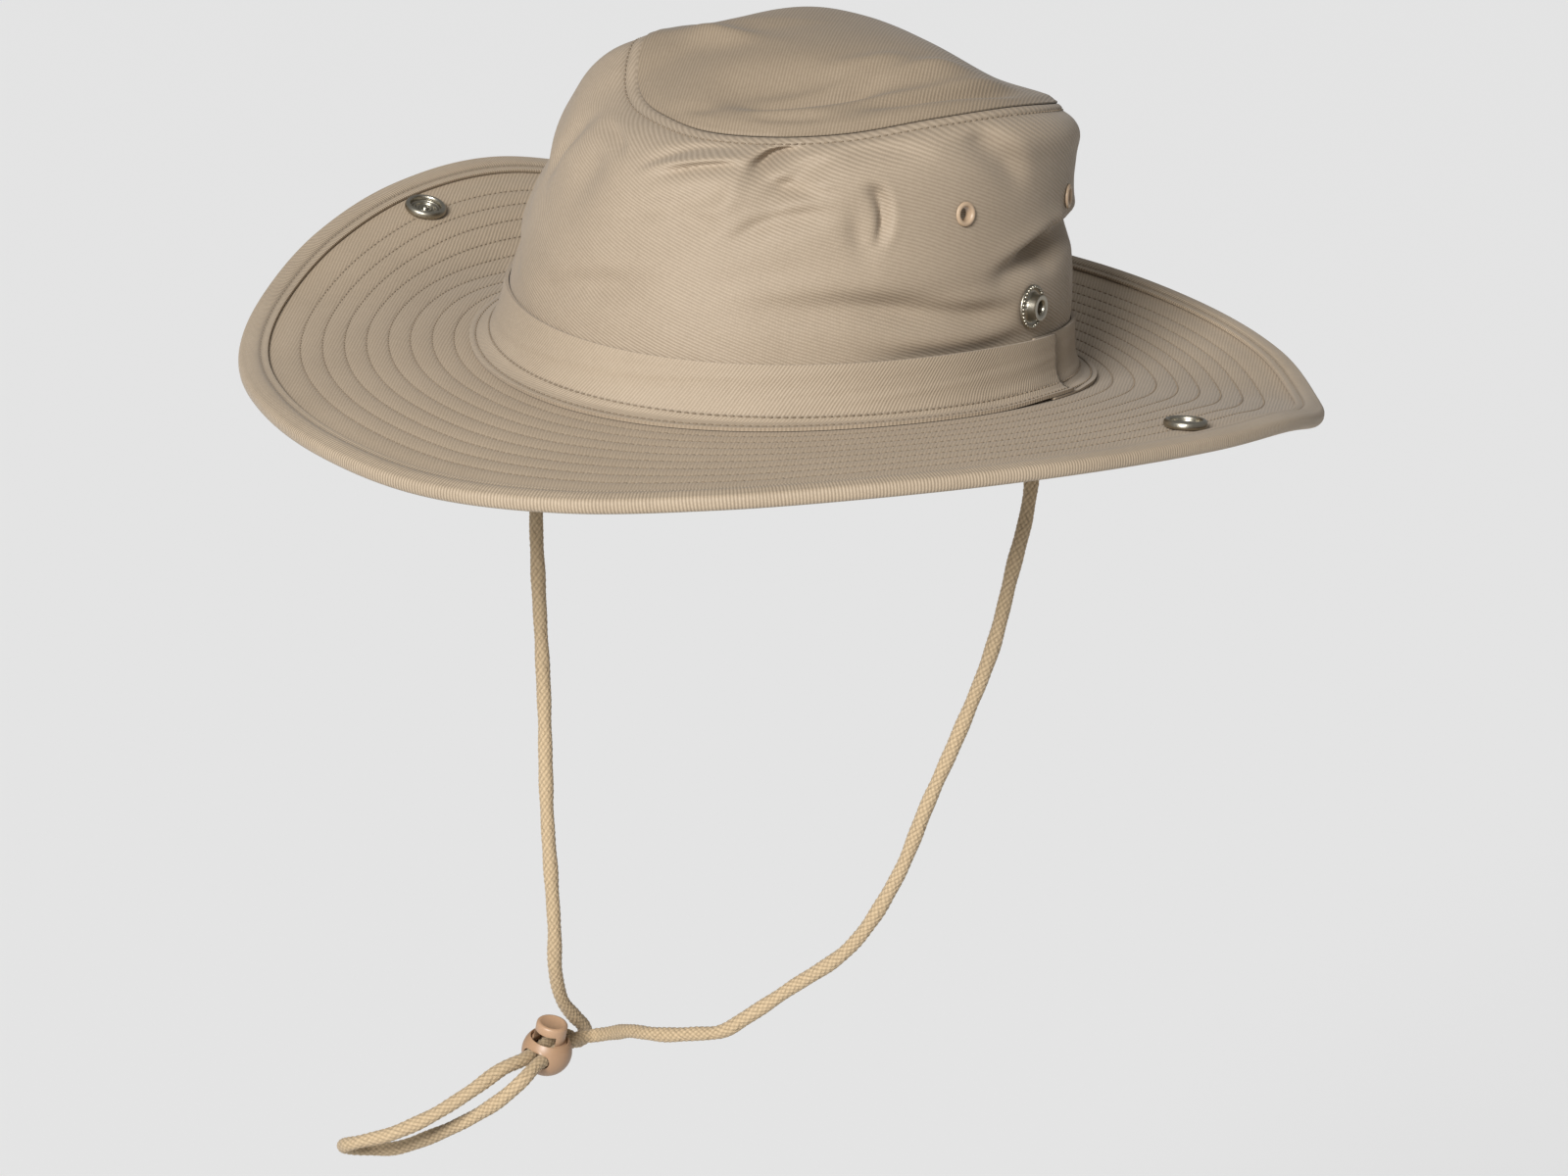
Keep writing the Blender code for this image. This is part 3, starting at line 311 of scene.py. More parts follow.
def folds_at(folds, ways):
    """Sum of the large folds; ways(row) gives the way from a fold's middle."""
    total = 0.0
    for row in folds:
        turn = math.radians(row[2])
        x, y = ways(row)
        along = x * math.cos(turn) + y * math.sin(turn)
        over = y * math.cos(turn) - x * math.sin(turn)
        total = total + row[5] * np.exp(-((along / row[3]) ** 2) - (over / row[4]) ** 2)
    return total


def creases_at(creases, ways):
    """Sum of the sharp creases, in metres; ways(place) gives millimetres from a place.

    A crease is a chain of soft dents, so close together that they run into one valley. The lip
    raises the cloth on one side of the chain and lowers it on the other.
    """
    total = 0.0
    share = np.linspace(0.0, 1.0, CHAIN_PLACES)
    fade = ease(share / CHAIN_FADE) * ease((1 - share) / CHAIN_FADE)
    for width, depth, lip, line in creases:
        knots = np.linspace(0.0, 1.0, len(line))
        chain = [smooth_read(knots, [place[axis] for place in line], share) for axis in (0, 1)]
        before_x, before_y = ways((chain[0][0], chain[1][0]))
        for first, second, strength in zip(chain[0][1:], chain[1][1:], fade[1:]):
            x, y = ways((first, second))
            run_x, run_y = before_x - x, before_y - y
            dent = np.exp(-(x**2 + y**2) / width**2)
            side = (run_x * y - run_y * x) / width
            wave = lip * side * np.sqrt(dent) - dent * np.hypot(run_x, run_y)
            total = total + 0.001 * depth * strength * wave / (width * math.sqrt(math.pi))
            before_x, before_y = x, y
    return total


print("tables:", len(CROWN_CREASES), "crown creases,", len(TIP_CREASES), "tip creases")


# %% [markdown]
# These functions give any point of the crown, the tip and the brim from an angle round the hat and
# a share of the way up or out. They work on whole arrays of points, so even the largest panel, of
# nearly a hundred thousand points, takes only seconds.

# %% Surfaces
def matched(angle, way):
    """An angle and a second measure as arrays of one shape."""
    return np.broadcast_arrays(np.asarray(angle, float), np.asarray(way, float))


def opening_lift(angle):
    return OPENING_SADDLE * np.cos(2 * np.radians(angle))


def seam_height(angle):
    return CROWN_HEIGHT * round_read(SEAM_HEIGHTS, 1, angle)


def wall_way(place, angle, up):
    """Way from a place on the wall, in shares of the crown's height."""
    arc = math.radians(1.0) * (HEAD_HALF_WIDTH + HEAD_HALF_LENGTH) / 2 / CROWN_HEIGHT
    return ((angle - place[0] + 180.0) % 360.0 - 180.0) * arc, up - place[1]


def metal_places():
    """Angle and height of the eyelets and studs."""
    left = [
        (EYELET_MIDDLE - EYELET_SPREAD, EYELET_UP),
        (EYELET_MIDDLE + EYELET_SPREAD, EYELET_UP),
        (STUD_ANGLE, STUD_UP),
    ]
    return left + [(180.0 - angle, up) for angle, up in left]


def crown_relief(angle, up, fine):
    """How far folds and creases push the wall out, flat at the seam and round the metal."""
    calm, near = 1.0, 1.0
    for place in metal_places():
        away = CROWN_HEIGHT * np.hypot(*wall_way(place, angle, up))
        calm = calm * ease((away - FLAT_ROUND_METAL) / (FOLDS_START - FLAT_ROUND_METAL))
        near = near * ease((away - METAL_EDGE) / (CREASES_START - METAL_EDGE))
    relief = CROWN_HEIGHT * folds_at(CROWN_FOLDS, lambda row: wall_way(row, angle, up))
    relief = relief * ease((1.0 - SEAM_SHARE * 0.4 - up) / SEAM_SHARE) * calm
    if fine:
        to_mm = CROWN_HEIGHT * 1000
        sharp = creases_at(
            CROWN_CREASES, lambda place: [to_mm * way for way in wall_way(place, angle, up)]
        )
        relief = relief + sharp * ease((CREASES_TOP - up) / CREASES_FADE) * near
    return relief


def oval(width, length, angle, out):
    """Points of an oval moved outward square to it, and the outward directions."""
    turn = np.radians(angle)
    nx, ny = np.cos(turn) / width, np.sin(turn) / length
    size = np.hypot(nx, ny)
    nx, ny = nx / size, ny / size
    x = width * np.cos(turn) + nx * out
    y = length * np.sin(turn) + ny * out
    return x, y, nx, ny


def wall_at(angle, up, out, fine=True):
    """Points of the crown's wall, out metres outside its inner face."""
    angle, up = matched(angle, up)
    lean = LEAN * section_read(3, up)
    width, length = HEAD_HALF_WIDTH * section_read(1, up), HEAD_HALF_LENGTH * section_read(2, up)
    x, y, _, _ = oval(width, length, angle, out + crown_relief(angle, up, fine))
    low = opening_lift(angle)
    z = low + up * (seam_height(angle) - low)
    return np.stack([x + lean * math.cos(LEAN_TURN), y + lean * math.sin(LEAN_TURN), z], axis=-1)


def wall_share(angle, height):
    return height / (seam_height(angle) - opening_lift(angle))


def tip_at(angle, reach, drop):
    """Points of the tip at a share of the way from its middle to the seam."""
    angle, reach = matched(angle, reach)
    width = HEAD_HALF_WIDTH * CROWN_SECTIONS[-1][1] + CLOTH - TIP_INSET
    length = HEAD_HALF_LENGTH * CROWN_SECTIONS[-1][2] + CLOTH - TIP_INSET
    x, y = reach * np.cos(np.radians(angle)), reach * np.sin(np.radians(angle))
    level = CROWN_HEIGHT * TIP_LEVEL
    rise = level + (seam_height(angle) - level) * reach**2 + TIP_RISE * (1 - reach**2.3)
    share_x, share_y = width / CROWN_HEIGHT, length / CROWN_HEIGHT
    folds = folds_at(TIP_FOLDS, lambda row: ((x - row[0]) * share_x, (y - row[1]) * share_y))
    creases = creases_at(
        TIP_CREASES, lambda place: [(x - place[0]) * width * 1000, (y - place[1]) * length * 1000]
    )
    rise = rise + (CROWN_HEIGHT * folds + creases) * (1 - reach**8) + GAP + CLOTH - drop
    lean_x, lean_y = LEAN * math.cos(LEAN_TURN), LEAN * math.sin(LEAN_TURN)
    return np.stack([lean_x + width * x, lean_y + length * y, rise], axis=-1)


def brim_middle(angle, reach):
    """Points halfway through the brim, reach metres out from the crown."""
    angle, reach = matched(angle, reach)
    broad = 1.0 + BRIM_SKEW * np.cos(np.radians(angle) - BRIM_SKEW_TURN)
    x, y, _, _ = oval(HEAD_HALF_WIDTH, HEAD_HALF_LENGTH, angle, CLOTH + GAP + reach * broad)
    v = [np.zeros_like(angle)] + [round_read(BRIM_SECTIONS, c, angle) for c in (1, 2, 3)]
    share = reach / BRIM_BREADTH
    i = np.clip((share * 3).astype(int), 0, 2)
    slopes = [(v[1] - v[0]) * 3, (v[2] - v[0]) * 1.5, (v[3] - v[1]) * 1.5, (v[3] - v[2]) * 3]
    start, end = np.choose(i, v[:3]), np.choose(i, v[1:])
    slope_a, slope_b = np.choose(i, slopes[:3]) / 3, np.choose(i, slopes[1:]) / 3
    s = np.minimum(share, 1.0) * 3 - i
    height = blend(start, end, slope_a, slope_b, s) + np.maximum(share - 1.0, 0.0) * slopes[3]
    return np.stack([x, y, opening_lift(angle) + BRIM_BREADTH * height], axis=-1)


def unit(vectors):
    return vectors / np.linalg.norm(vectors, axis=-1, keepdims=True)


def wall_normal(angle, up, turn, fine=True):
    """Directions outward from the crown's outer face, measured over a turn in degrees."""
    face = partial(wall_at, out=CLOTH, fine=fine)
    upward = face(angle, up + turn / 100) - face(angle, up - turn / 100)
    return unit(np.cross(face(angle + turn, up) - face(angle - turn, up), upward))


def brim_normal(angle, reach):
    step = BRIM_BREADTH / 50
    outward = brim_middle(angle, reach + step) - brim_middle(angle, np.maximum(reach - step, 0.0))
    around = brim_middle(angle + 1.0, reach) - brim_middle(angle - 1.0, reach)
    return unit(np.cross(outward, around))


def brim_at(angle, reach, side):
    """Points side metres above the brim's middle."""
    angle, reach = matched(angle, reach)
    return brim_middle(angle, reach) + brim_normal(angle, reach) * np.asarray(side)[..., None]


print("seam height at the front:", round(float(seam_height(-90.0)) * 1000, 1), "mm")

# %% [markdown]
# Cotton drill is a twill: its ribs run slantwise, about a millimetre apart. One shader group makes
# the ribs, with the pitch and the slant as inputs, and gives a height for the bump and a mask for
# the colour. Every cloth panel uses it with its own slant, since each panel is cut from the cloth
# in its own direction. A second group gives the slow blotches that handled cotton has.


# %% Shader groups
RIB_WANDER = 0.9
FLOAT_SHIFT = 0.37
FLOAT_HEIGHT = 0.3
FUZZ_HEIGHT = 0.35


def link_math(tree, operation, a, b=None, c=None):
    """A Math node whose inputs are sockets or numbers."""
    node = tree.nodes.new("ShaderNodeMath")
    node.operation = operation
    for socket, value in zip(node.inputs, (a, b, c)):
        if value is None:
            continue
        if isinstance(value, (int, float)):
            socket.default_value = value
        else:
            tree.links.new(value, socket)
    return node.outputs[0]


def set_inputs(node, values):
    """Set a node's inputs by their labels."""
    for label, value in values.items():
        node.inputs[label].default_value = value


def add_noise(group, vector, **values):
    """A noise texture over a vector."""
    noise = group.nodes.new("ShaderNodeTexNoise")
    group.links.new(vector, noise.inputs["Vector"])
    set_inputs(noise, values)
    return noise


def new_group(name, inputs, outputs):
    """An empty shader group; inputs are (name, kind, value), outputs (name, kind)."""
    group = bpy.data.node_groups.new(name, "ShaderNodeTree")
    for label, kind, value in inputs:
        socket = group.interface.new_socket(label, in_out="INPUT", socket_type=kind)
        if value is not None:
            socket.default_value = value
    for label, kind in outputs:
        group.interface.new_socket(label, in_out="OUTPUT", socket_type=kind)
    return group, group.nodes.new("NodeGroupInput"), group.nodes.new("NodeGroupOutput")


def twill_group():
    """Ribs of twill at a slant, each broken into floats, with a little fuzz."""
    group, given, result = new_group(
        "twill_weave",
        [
            ("Vector", "NodeSocketVector", None),
            ("Pitch", "NodeSocketFloat", 0.001),
            ("Slant", "NodeSocketFloat", 0.0),
        ],
        [("Height", "NodeSocketFloat"), ("Ribs", "NodeSocketFloat")],
    )
    split = group.nodes.new("ShaderNodeSeparateXYZ")
    group.links.new(given.outputs["Vector"], split.inputs[0])
    wobble = add_noise(group, given.outputs["Vector"], Scale=60.0, Detail=2.0)
    fuzz = add_noise(group, given.outputs["Vector"], Scale=2400.0, Detail=2.0)
    work = partial(link_math, group)

    def wave(turns):
        """A ripple between 0 and 1, once in each turn."""
        return work("MULTIPLY_ADD", work("SINE", work("MULTIPLY", turns, 2 * math.pi)), 0.5, 0.5)

    cos, sin = (work(way, given.outputs["Slant"]) for way in ("COSINE", "SINE"))
    x, y = split.outputs["X"], split.outputs["Y"]
    over = work("SUBTRACT", work("MULTIPLY", y, cos), work("MULTIPLY", x, sin))
    along = work("ADD", work("MULTIPLY", x, cos), work("MULTIPLY", y, sin))
    count = work("DIVIDE", over, given.outputs["Pitch"])
    count = work("ADD", count, work("MULTIPLY", wobble.outputs["Fac"], RIB_WANDER))
    rib = wave(count)
    shift = work("MULTIPLY", work("FLOOR", count), FLOAT_SHIFT)
    thread = work("ADD", work("DIVIDE", along, given.outputs["Pitch"]), shift)
    height = work("MULTIPLY", rib, work("MULTIPLY_ADD", wave(thread), FLOAT_HEIGHT, 1.0 - FLOAT_HEIGHT))
    height = work("MULTIPLY_ADD", fuzz.outputs["Fac"], FUZZ_HEIGHT, height)
    group.links.new(height, result.inputs["Height"])
    group.links.new(work("POWER", rib, 0.7), result.inputs["Ribs"])
    return group


def mottle_group():
    """Soft blotches of a given size."""
    group, given, result = new_group(
        "cloth_mottle",
        [("Vector", "NodeSocketVector", None), ("Size", "NodeSocketFloat", 30.0)],
        [("Mask", "NodeSocketFloat")],
    )
    noise = add_noise(group, given.outputs["Vector"], Detail=5.0, Roughness=0.6)
    group.links.new(given.outputs["Size"], noise.inputs["Scale"])
    group.links.new(noise.outputs["Fac"], result.inputs["Mask"])
    return group


TWILL = twill_group()
MOTTLE = mottle_group()
print("shader groups:", TWILL.name, MOTTLE.name)


# %% [markdown]
# A cloth finish mixes a light and a dark khaki by the ribs and the blotches, is nearly matt, and
# has a little sheen from its fuzz. Metal and plastic finishes follow the same plan with their own
# numbers: a base colour and a roughness that vary slightly, and a small bump.

# %% Finishes
RIB_PITCH = 0.00105
THREAD_PITCH = 0.0004
COTTON = {"Roughness": 0.62, "Sheen Weight": 0.08, "Sheen Roughness": 0.5}
COTTON["Specular IOR Level"] = 0.30
BLOTCH_SIZE = 22.0
GRAIN_SIZE = 700.0
CREVICE_SHADE = 0.42


def new_finish(name):
    material = bpy.data.materials.new(name)
    material.use_nodes = True
    tree = material.node_tree
    return material, tree, tree.nodes["Principled BSDF"]


def place_group(tree, group, vector, **values):
    """A shader group used in a finish."""
    node = tree.nodes.new("ShaderNodeGroup")
    node.node_tree = group
    tree.links.new(vector, node.inputs["Vector"])
    set_inputs(node, values)
    return node


def add_relief(tree, shader, height, strength, distance):
    """Roughen a finish's face by a height."""
    relief = tree.nodes.new("ShaderNodeBump")
    set_inputs(relief, {"Strength": strength, "Distance": distance})
    tree.links.new(height, relief.inputs["Height"])
    tree.links.new(relief.outputs["Normal"], shader.inputs["Normal"])


def mix_colours(tree, share, a, b):
    """From a to b, each a colour or a socket."""
    node = tree.nodes.new("ShaderNodeMix")
    node.data_type = "RGBA"
    tree.links.new(share, node.inputs["Factor"])
    for socket, value in ((node.inputs["A"], a), (node.inputs["B"], b)):
        if isinstance(value, tuple):
            socket.default_value = (*value, 1.0)
        else:
            tree.links.new(value, socket)
    return node.outputs["Result"]


def cloth_finish(name, light, dark, slant, pitch=RIB_PITCH, ribs=0.48, on_uv=True, shade_strength=0.6):
    """Cotton drill with its ribs at a slant in degrees, with shade painted into its crevices."""
    material, tree, shader = new_finish(name)
    place = tree.nodes.new("ShaderNodeTexCoord")
    vector = place.outputs["UV" if on_uv else "Object"]
    twill = place_group(tree, TWILL, vector, Pitch=pitch, Slant=math.radians(slant))
    blotch = place_group(tree, MOTTLE, place.outputs["Object"], Size=BLOTCH_SIZE)
    grain = place_group(tree, MOTTLE, place.outputs["Object"], Size=GRAIN_SIZE)
    work = partial(link_math, tree)
    rib_mask = work("MULTIPLY_ADD", twill.outputs["Ribs"], ribs, 0.48 - 0.5 * ribs)
    mask = work("MULTIPLY_ADD", blotch.outputs["Mask"], 0.45, rib_mask)
    mask = work("MULTIPLY_ADD", grain.outputs["Mask"], 0.40, mask)
    mask = work("SUBTRACT", mask, 0.37)
    cloth = mix_colours(tree, mask, dark, light)
    # Painted shade: each piece marks its ditches, seams and hollows, and the colour there is darkened
    # toward a shade of the dark khaki.
    painted_shade = tree.nodes.new("ShaderNodeAttribute")
    painted_shade.attribute_name = "painted_shade"
    deep = work("MULTIPLY", painted_shade.outputs["Fac"], shade_strength)
    shade = tuple(CREVICE_SHADE * part for part in dark)
    tree.links.new(mix_colours(tree, deep, cloth, shade), shader.inputs["Base Color"])
    set_inputs(shader, COTTON)
    add_relief(tree, shader, twill.outputs["Height"], 0.45, 0.0003)
    return material


def solid_finish(name, light, dark, roughness, metallic, size, bump):
    """Metal, paint or plastic: a varied colour, a varied roughness and a slight unevenness."""
    material, tree, shader = new_finish(name)
    place = tree.nodes.new("ShaderNodeTexCoord")
    blotch = place_group(tree, MOTTLE, place.outputs["Object"], Size=size)
    fine = place_group(tree, MOTTLE, place.outputs["Object"], Size=size * 9)
    work = partial(link_math, tree)
    mask = work("MULTIPLY", blotch.outputs["Mask"], 0.5)
    mask = work("MULTIPLY_ADD", fine.outputs["Mask"], 0.5, mask)
    tree.links.new(mix_colours(tree, mask, dark, light), shader.inputs["Base Color"])
    rough = work("MULTIPLY_ADD", mask, 0.25, roughness - 0.12)
    tree.links.new(rough, shader.inputs["Roughness"])
    set_inputs(shader, {"Metallic": metallic})
    add_relief(tree, shader, fine.outputs["Mask"], bump, 0.0002)
    return material


# A light and a dark colour for each finish.
CROWN_KHAKI = ((0.395, 0.316, 0.232), (0.222, 0.170, 0.117))
# The tip's khaki is the crown's drill made darker and warmer: painted shade on the top of the crown.
SHADED_TIP_KHAKI = ((0.315, 0.246, 0.173), (0.173, 0.129, 0.085))
BRIM_KHAKI = ((0.430, 0.338, 0.240), (0.250, 0.190, 0.127))
BAND_KHAKI = ((0.42, 0.338, 0.248), (0.25, 0.192, 0.132))
BIAS_KHAKI = ((0.44, 0.35, 0.25), (0.20, 0.15, 0.10))
TAPE_KHAKI = ((0.42, 0.33, 0.23), (0.24, 0.18, 0.12))
THREAD_BROWN = ((0.27, 0.205, 0.14), (0.16, 0.118, 0.078))
CORD_STRAW = ((0.64, 0.49, 0.31), (0.46, 0.335, 0.195))
NICKEL = ((0.55, 0.51, 0.43), (0.18, 0.165, 0.125))
PAINT = ((0.48, 0.355, 0.24), (0.34, 0.24, 0.155))
BALL_TAN = ((0.36, 0.222, 0.130), (0.30, 0.182, 0.104))
BUTTON_TAN = ((0.42, 0.264, 0.160), (0.35, 0.216, 0.128))

crown_drill = cloth_finish("crown_drill", *CROWN_KHAKI, slant=-20)
tip_drill = cloth_finish("tip_drill", *SHADED_TIP_KHAKI, slant=118, on_uv=False)
brim_drill = cloth_finish("brim_drill", *BRIM_KHAKI, slant=120, on_uv=False)
band_drill = cloth_finish("band_drill", *BAND_KHAKI, slant=62)
bias_drill = cloth_finish("bias_drill", *BIAS_KHAKI, slant=88, ribs=0.75)
tape_weave = cloth_finish("tape_weave", *TAPE_KHAKI, slant=90, pitch=0.0012)
thread_cotton = cloth_finish(
    "thread_cotton", *THREAD_BROWN, slant=30, pitch=THREAD_PITCH, on_uv=False
)
braid_cotton = cloth_finish("braid_cotton", *CORD_STRAW, slant=0, pitch=THREAD_PITCH, shade_strength=0.8)
old_nickel = solid_finish("old_nickel", *NICKEL, 0.34, 1.0, 300.0, 0.15)
beige_paint = solid_finish("beige_paint", *PAINT, 0.42, 0.0, 200.0, 0.1)
beige_plastic = solid_finish("beige_plastic", *BALL_TAN, 0.42, 0.0, 120.0, 0.08)
button_plastic = solid_finish("button_plastic", *BUTTON_TAN, 0.40, 0.0, 120.0, 0.08)
print("finishes:", len(bpy.data.materials))

# %% [markdown]
# A panel starts as a flat grid, one side of which goes round the hat and the other up and over the
# cloth's section, from its outer face round its edge to its inner face. Each point of the grid is
# moved to its place on the hat, then the meeting edges are merged, which closes the panel into one
# solid skin. A grid was chosen over sculpting because every row of it can follow a seam exactly.


# %% Panel helper
def deselect():
    if bpy.context.mode != "OBJECT":
        bpy.ops.object.mode_set(mode="OBJECT")
    bpy.ops.object.select_all(action="DESELECT")


def choose(piece):
    """Make one piece the selected and active one."""
    deselect()
    bpy.context.view_layer.objects.active = piece
    piece.select_set(True)


def edit_all(action="SELECT"):
    """Open the active piece for editing, with all or none of it selected."""
    bpy.ops.object.mode_set(mode="EDIT")
    bpy.ops.mesh.select_all(action=action)


def add_box(height, size):
    """A box whose middle stands at a height."""
    deselect()
    bpy.ops.mesh.primitive_cube_add(size=1.0, location=(0, 0, height), scale=size)
    bpy.ops.object.transform_apply(location=True, rotation=True, scale=True)
    return bpy.context.object


def finish_piece(piece, material, slot, *nodes, body=BODY):
    """Give a piece its finish and its body, and hide the solids it stands for."""
    piece.data.materials.clear()
    piece.data.materials.append(material)
    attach(piece, body)
    if nodes:
        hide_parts(*nodes)
    tris = sum(len(face.vertices) - 2 for face in piece.data.polygons)
    print(piece.name, tris, "triangles")
    return piece


def panel(name, columns, rows, place):
    """A grid moved by place(u, v), which gives points, flat cloth coordinates and painted crevice shade.
    """
    deselect()
    bpy.ops.mesh.primitive_grid_add(x_subdivisions=columns, y_subdivisions=rows, size=1.0)
    piece = bpy.context.object
    piece.name = piece.data.name = name
    mesh = piece.data
    flat = np.empty(len(mesh.vertices) * 3)
    mesh.vertices.foreach_get("co", flat)
    flat = flat.reshape(-1, 3) + 0.5
    points, cloth, painted_shade = place(flat[:, 0], flat[:, 1])
    mesh.vertices.foreach_set("co", np.ascontiguousarray(points, dtype=float).ravel())
    mark = mesh.attributes.new("painted_shade", "FLOAT", "POINT")
    mark.data.foreach_set("value", np.clip(painted_shade, 0, 1).astype(float))
    corners = np.empty(len(mesh.loops), dtype=int)
    mesh.loops.foreach_get("vertex_index", corners)
    mesh.uv_layers[0].data.foreach_set("uv", np.ascontiguousarray(cloth, dtype=float)[corners].ravel())
    edit_all()
    bpy.ops.mesh.remove_doubles(threshold=1e-6)
    bpy.ops.mesh.normals_make_consistent(inside=False)
    bpy.ops.object.mode_set(mode="OBJECT")
    bpy.ops.object.shade_smooth_by_angle(angle=math.radians(50))
    return piece


def close_ends(piece):
    """Fill the two open ends of a strip or tube."""
    choose(piece)
    edit_all("DESELECT")
    bpy.ops.mesh.select_non_manifold()
    bpy.ops.mesh.edge_face_add()
    bpy.ops.object.mode_set(mode="OBJECT")


def dip(way, width):
    """A soft dip: one at its middle, nothing a few widths away."""
    return np.exp(-((way / width) ** 2))


def read_along(wanted, run, points):
    """Points of a line at the wanted lengths of its run."""
    return np.stack([np.interp(wanted, run, points[:, k]) for k in range(3)], axis=-1)


def run_of(points):
    """Length from a line's start to each of its points."""
    return np.concatenate([[0], np.cumsum(np.linalg.norm(np.diff(points, axis=0), axis=1))])


def by_row(v, values):
    """The value of each grid row, from the grid's 0 to 1 coordinate."""
    values = np.asarray(values, float)
    return values[np.rint(v * (len(values) - 1)).astype(int)]


# %% [markdown]
# The crown's side is one strip of drill sewn into a ring, with a closing seam at the back. It is
# gathered slightly by the tip seam, where the cloth dives into a ditch, and a row of topstitching
# runs just below. Inside, a second skin 1.4 mm in gives the cloth its thickness.

# %% Crown side
BACK_SEAM = 90.0
FRONT_OF_CLOTH = BACK_SEAM + 220.0
MEAN_RADIUS = (HEAD_HALF_WIDTH + HEAD_HALF_LENGTH) / 2
TOPSTITCH_DOWN = 0.0018
TOPSTITCH_DEPTH = 0.0006
PUFF_DOWN = 0.0009
PUFF_HEIGHT = 0.0005
SEAM_DEPTH = 0.0007
UNEVEN_DEPTH = 0.00035


def weave_noise(angle, up, seed):
    """A slow unevenness of the cloth, from a few crossed waves."""
    turn = np.radians(angle)
    waves = np.zeros_like(turn)
    for k, (m, n) in enumerate(((3, 5), (7, 9), (11, 14), (17, 6), (23, 19), (31, 27))):
        waves = waves + np.sin(m * turn + n * up * 3.1 + seed + k * 1.7) / (1 + k)
    return waves / 3


def make_crown_side():
    outer_up = np.concatenate([np.linspace(0, 0.90, 92), np.linspace(0.90, 1.0, 24)[1:]])
    inner_up = np.linspace(1.0, 0.0, 52)
    ups = np.concatenate([outer_up, inner_up, outer_up[:1]])
    face = np.concatenate([np.ones(len(outer_up)), np.zeros(len(inner_up)), [1.0]])

    def place(u, v):
        angle = BACK_SEAM + 360.0 * u
        up, outside = by_row(v, ups), by_row(v, face)
        down = (1.0 - up) * CROWN_HEIGHT
        ditch = TOPSTITCH_DEPTH * dip(down - TOPSTITCH_DOWN, 0.0007)
        puff = PUFF_HEIGHT * dip(down - PUFF_DOWN, 0.0008)
        seam = np.minimum(np.abs(u), np.abs(1 - u)) * 2 * math.pi * MEAN_RADIUS
        crease = SEAM_DEPTH * dip(seam, 0.0008)
        uneven = UNEVEN_DEPTH * weave_noise(angle, up, 0.4) * ease(down / 0.01)
        out = outside * (CLOTH - ditch + puff - crease) + uneven
        points = wall_at(angle, up, out)
        # Painted shade, outside only: darker in the topstitch ditch, along the top edge at the seam and in
        # the back seam's crease.
        ditch_shade = 0.3 * dip(down - TOPSTITCH_DOWN, 0.0006)
        dark = outside * (ditch_shade + 0.25 * (down < 0.0003) + crease / SEAM_DEPTH)
        across = np.radians(angle - FRONT_OF_CLOTH) * MEAN_RADIUS * section_read(1, up)
        return points, np.stack([across, up * CROWN_HEIGHT], axis=-1), dark

    piece = panel("crown_side_cloth", 580, len(ups) - 1, place)
    return finish_piece(piece, crown_drill, "crown_cloth", "crown_side")


crown_side = make_crown_side()


# %% [markdown]
# The tip is the oval on top. Its edge turns down inside the side panel as a seam allowance, so the
# section runs from the middle of the top, out over the edge, down the allowance and back under.

# %% Crown tip
TIP_ROLL = 0.0009
TIP_TUCK = 0.0003


def make_tip():
    top = np.linspace(0.0, 1.0, 62)
    under = np.linspace(0.94, 0.0, 36)
    levels = np.linspace(1.0, 1.0 - SEAM_SHARE, 12)
    hidden = -GAP - TIP_TUCK
    turned = [(1.0, -3 * GAP, GAP)] + [(level, hidden, 0) for level in levels[1:]]
    turned += [(level, hidden - CLOTH, 0) for level in levels[:0:-1]]
    count = len(top) + 1 + len(turned) + len(under)

    def place(u, v):
        angle = BACK_SEAM + 360.0 * u
        row = np.rint(v * (count - 1)).astype(int)
        points = np.zeros((len(u), 3))
        over = row < len(top)
        reach = top[row[over]] ** 0.85
        points[over] = tip_at(angle[over], reach, TIP_ROLL * ease((reach - 0.95) / 0.05))
        edge = row == len(top)
        points[edge] = tip_at(angle[edge], 1.0, CLOTH)
        for k, (up, out, lift) in enumerate(turned):
            here = row == len(top) + 1 + k
            points[here] = wall_at(angle[here], up, out) + np.array([0, 0, lift])
        below = row > len(top) + len(turned)
        points[below] = tip_at(angle[below], under[row[below] - len(top) - 1 - len(turned)], CLOTH)
        # Painted shade: the edge, the turned allowance and the underside are all marked fully dark.
        return points, points[:, :2], (row >= len(top)).astype(float)

    piece = panel("crown_tip_cloth", 360, count - 1, place)
    return finish_piece(piece, tip_drill, "tip_cloth", "crown_tip")


make_tip()

# %% [markdown]
# The brim is two layers of drill with a stiff cloth between, quilted by nine rings of stitching
# about seven millimetres apart. Each ring pulls the cloth into a shallow ditch on both faces, so
# the grid has rows placed close together at each ring and further apart on the puffed cloth
# between.

# %% Brim
ROW_FIRST = 0.0084
ROW_PITCH = 0.00705
ROW_COUNT = 9
DITCH_WIDTH = 0.0006
QUILT_PUFF = 0.00016
QUILT_DITCH = 0.00020
STITCH_ROWS = [ROW_FIRST + ROW_PITCH * i for i in range(ROW_COUNT)]
BINDING_START = BRIM_BREADTH + GAP + BINDING_THICKNESS - BINDING_WIDTH


def quilt(reach, angle):
    """How far the quilting lowers or puffs the brim's faces."""
    ditch = np.zeros_like(reach)
    for row in STITCH_ROWS:
        ditch = ditch + dip(reach - row, DITCH_WIDTH)
    phase = (reach - ROW_FIRST) / ROW_PITCH
    puff = 0.5 - 0.5 * np.cos(2 * math.pi * phase)
    pucker = 0.5 + 0.5 * np.sin(np.radians(angle) * 210 + phase * 9)
    return QUILT_PUFF * puff * (0.8 + 0.4 * pucker) - QUILT_DITCH * ditch


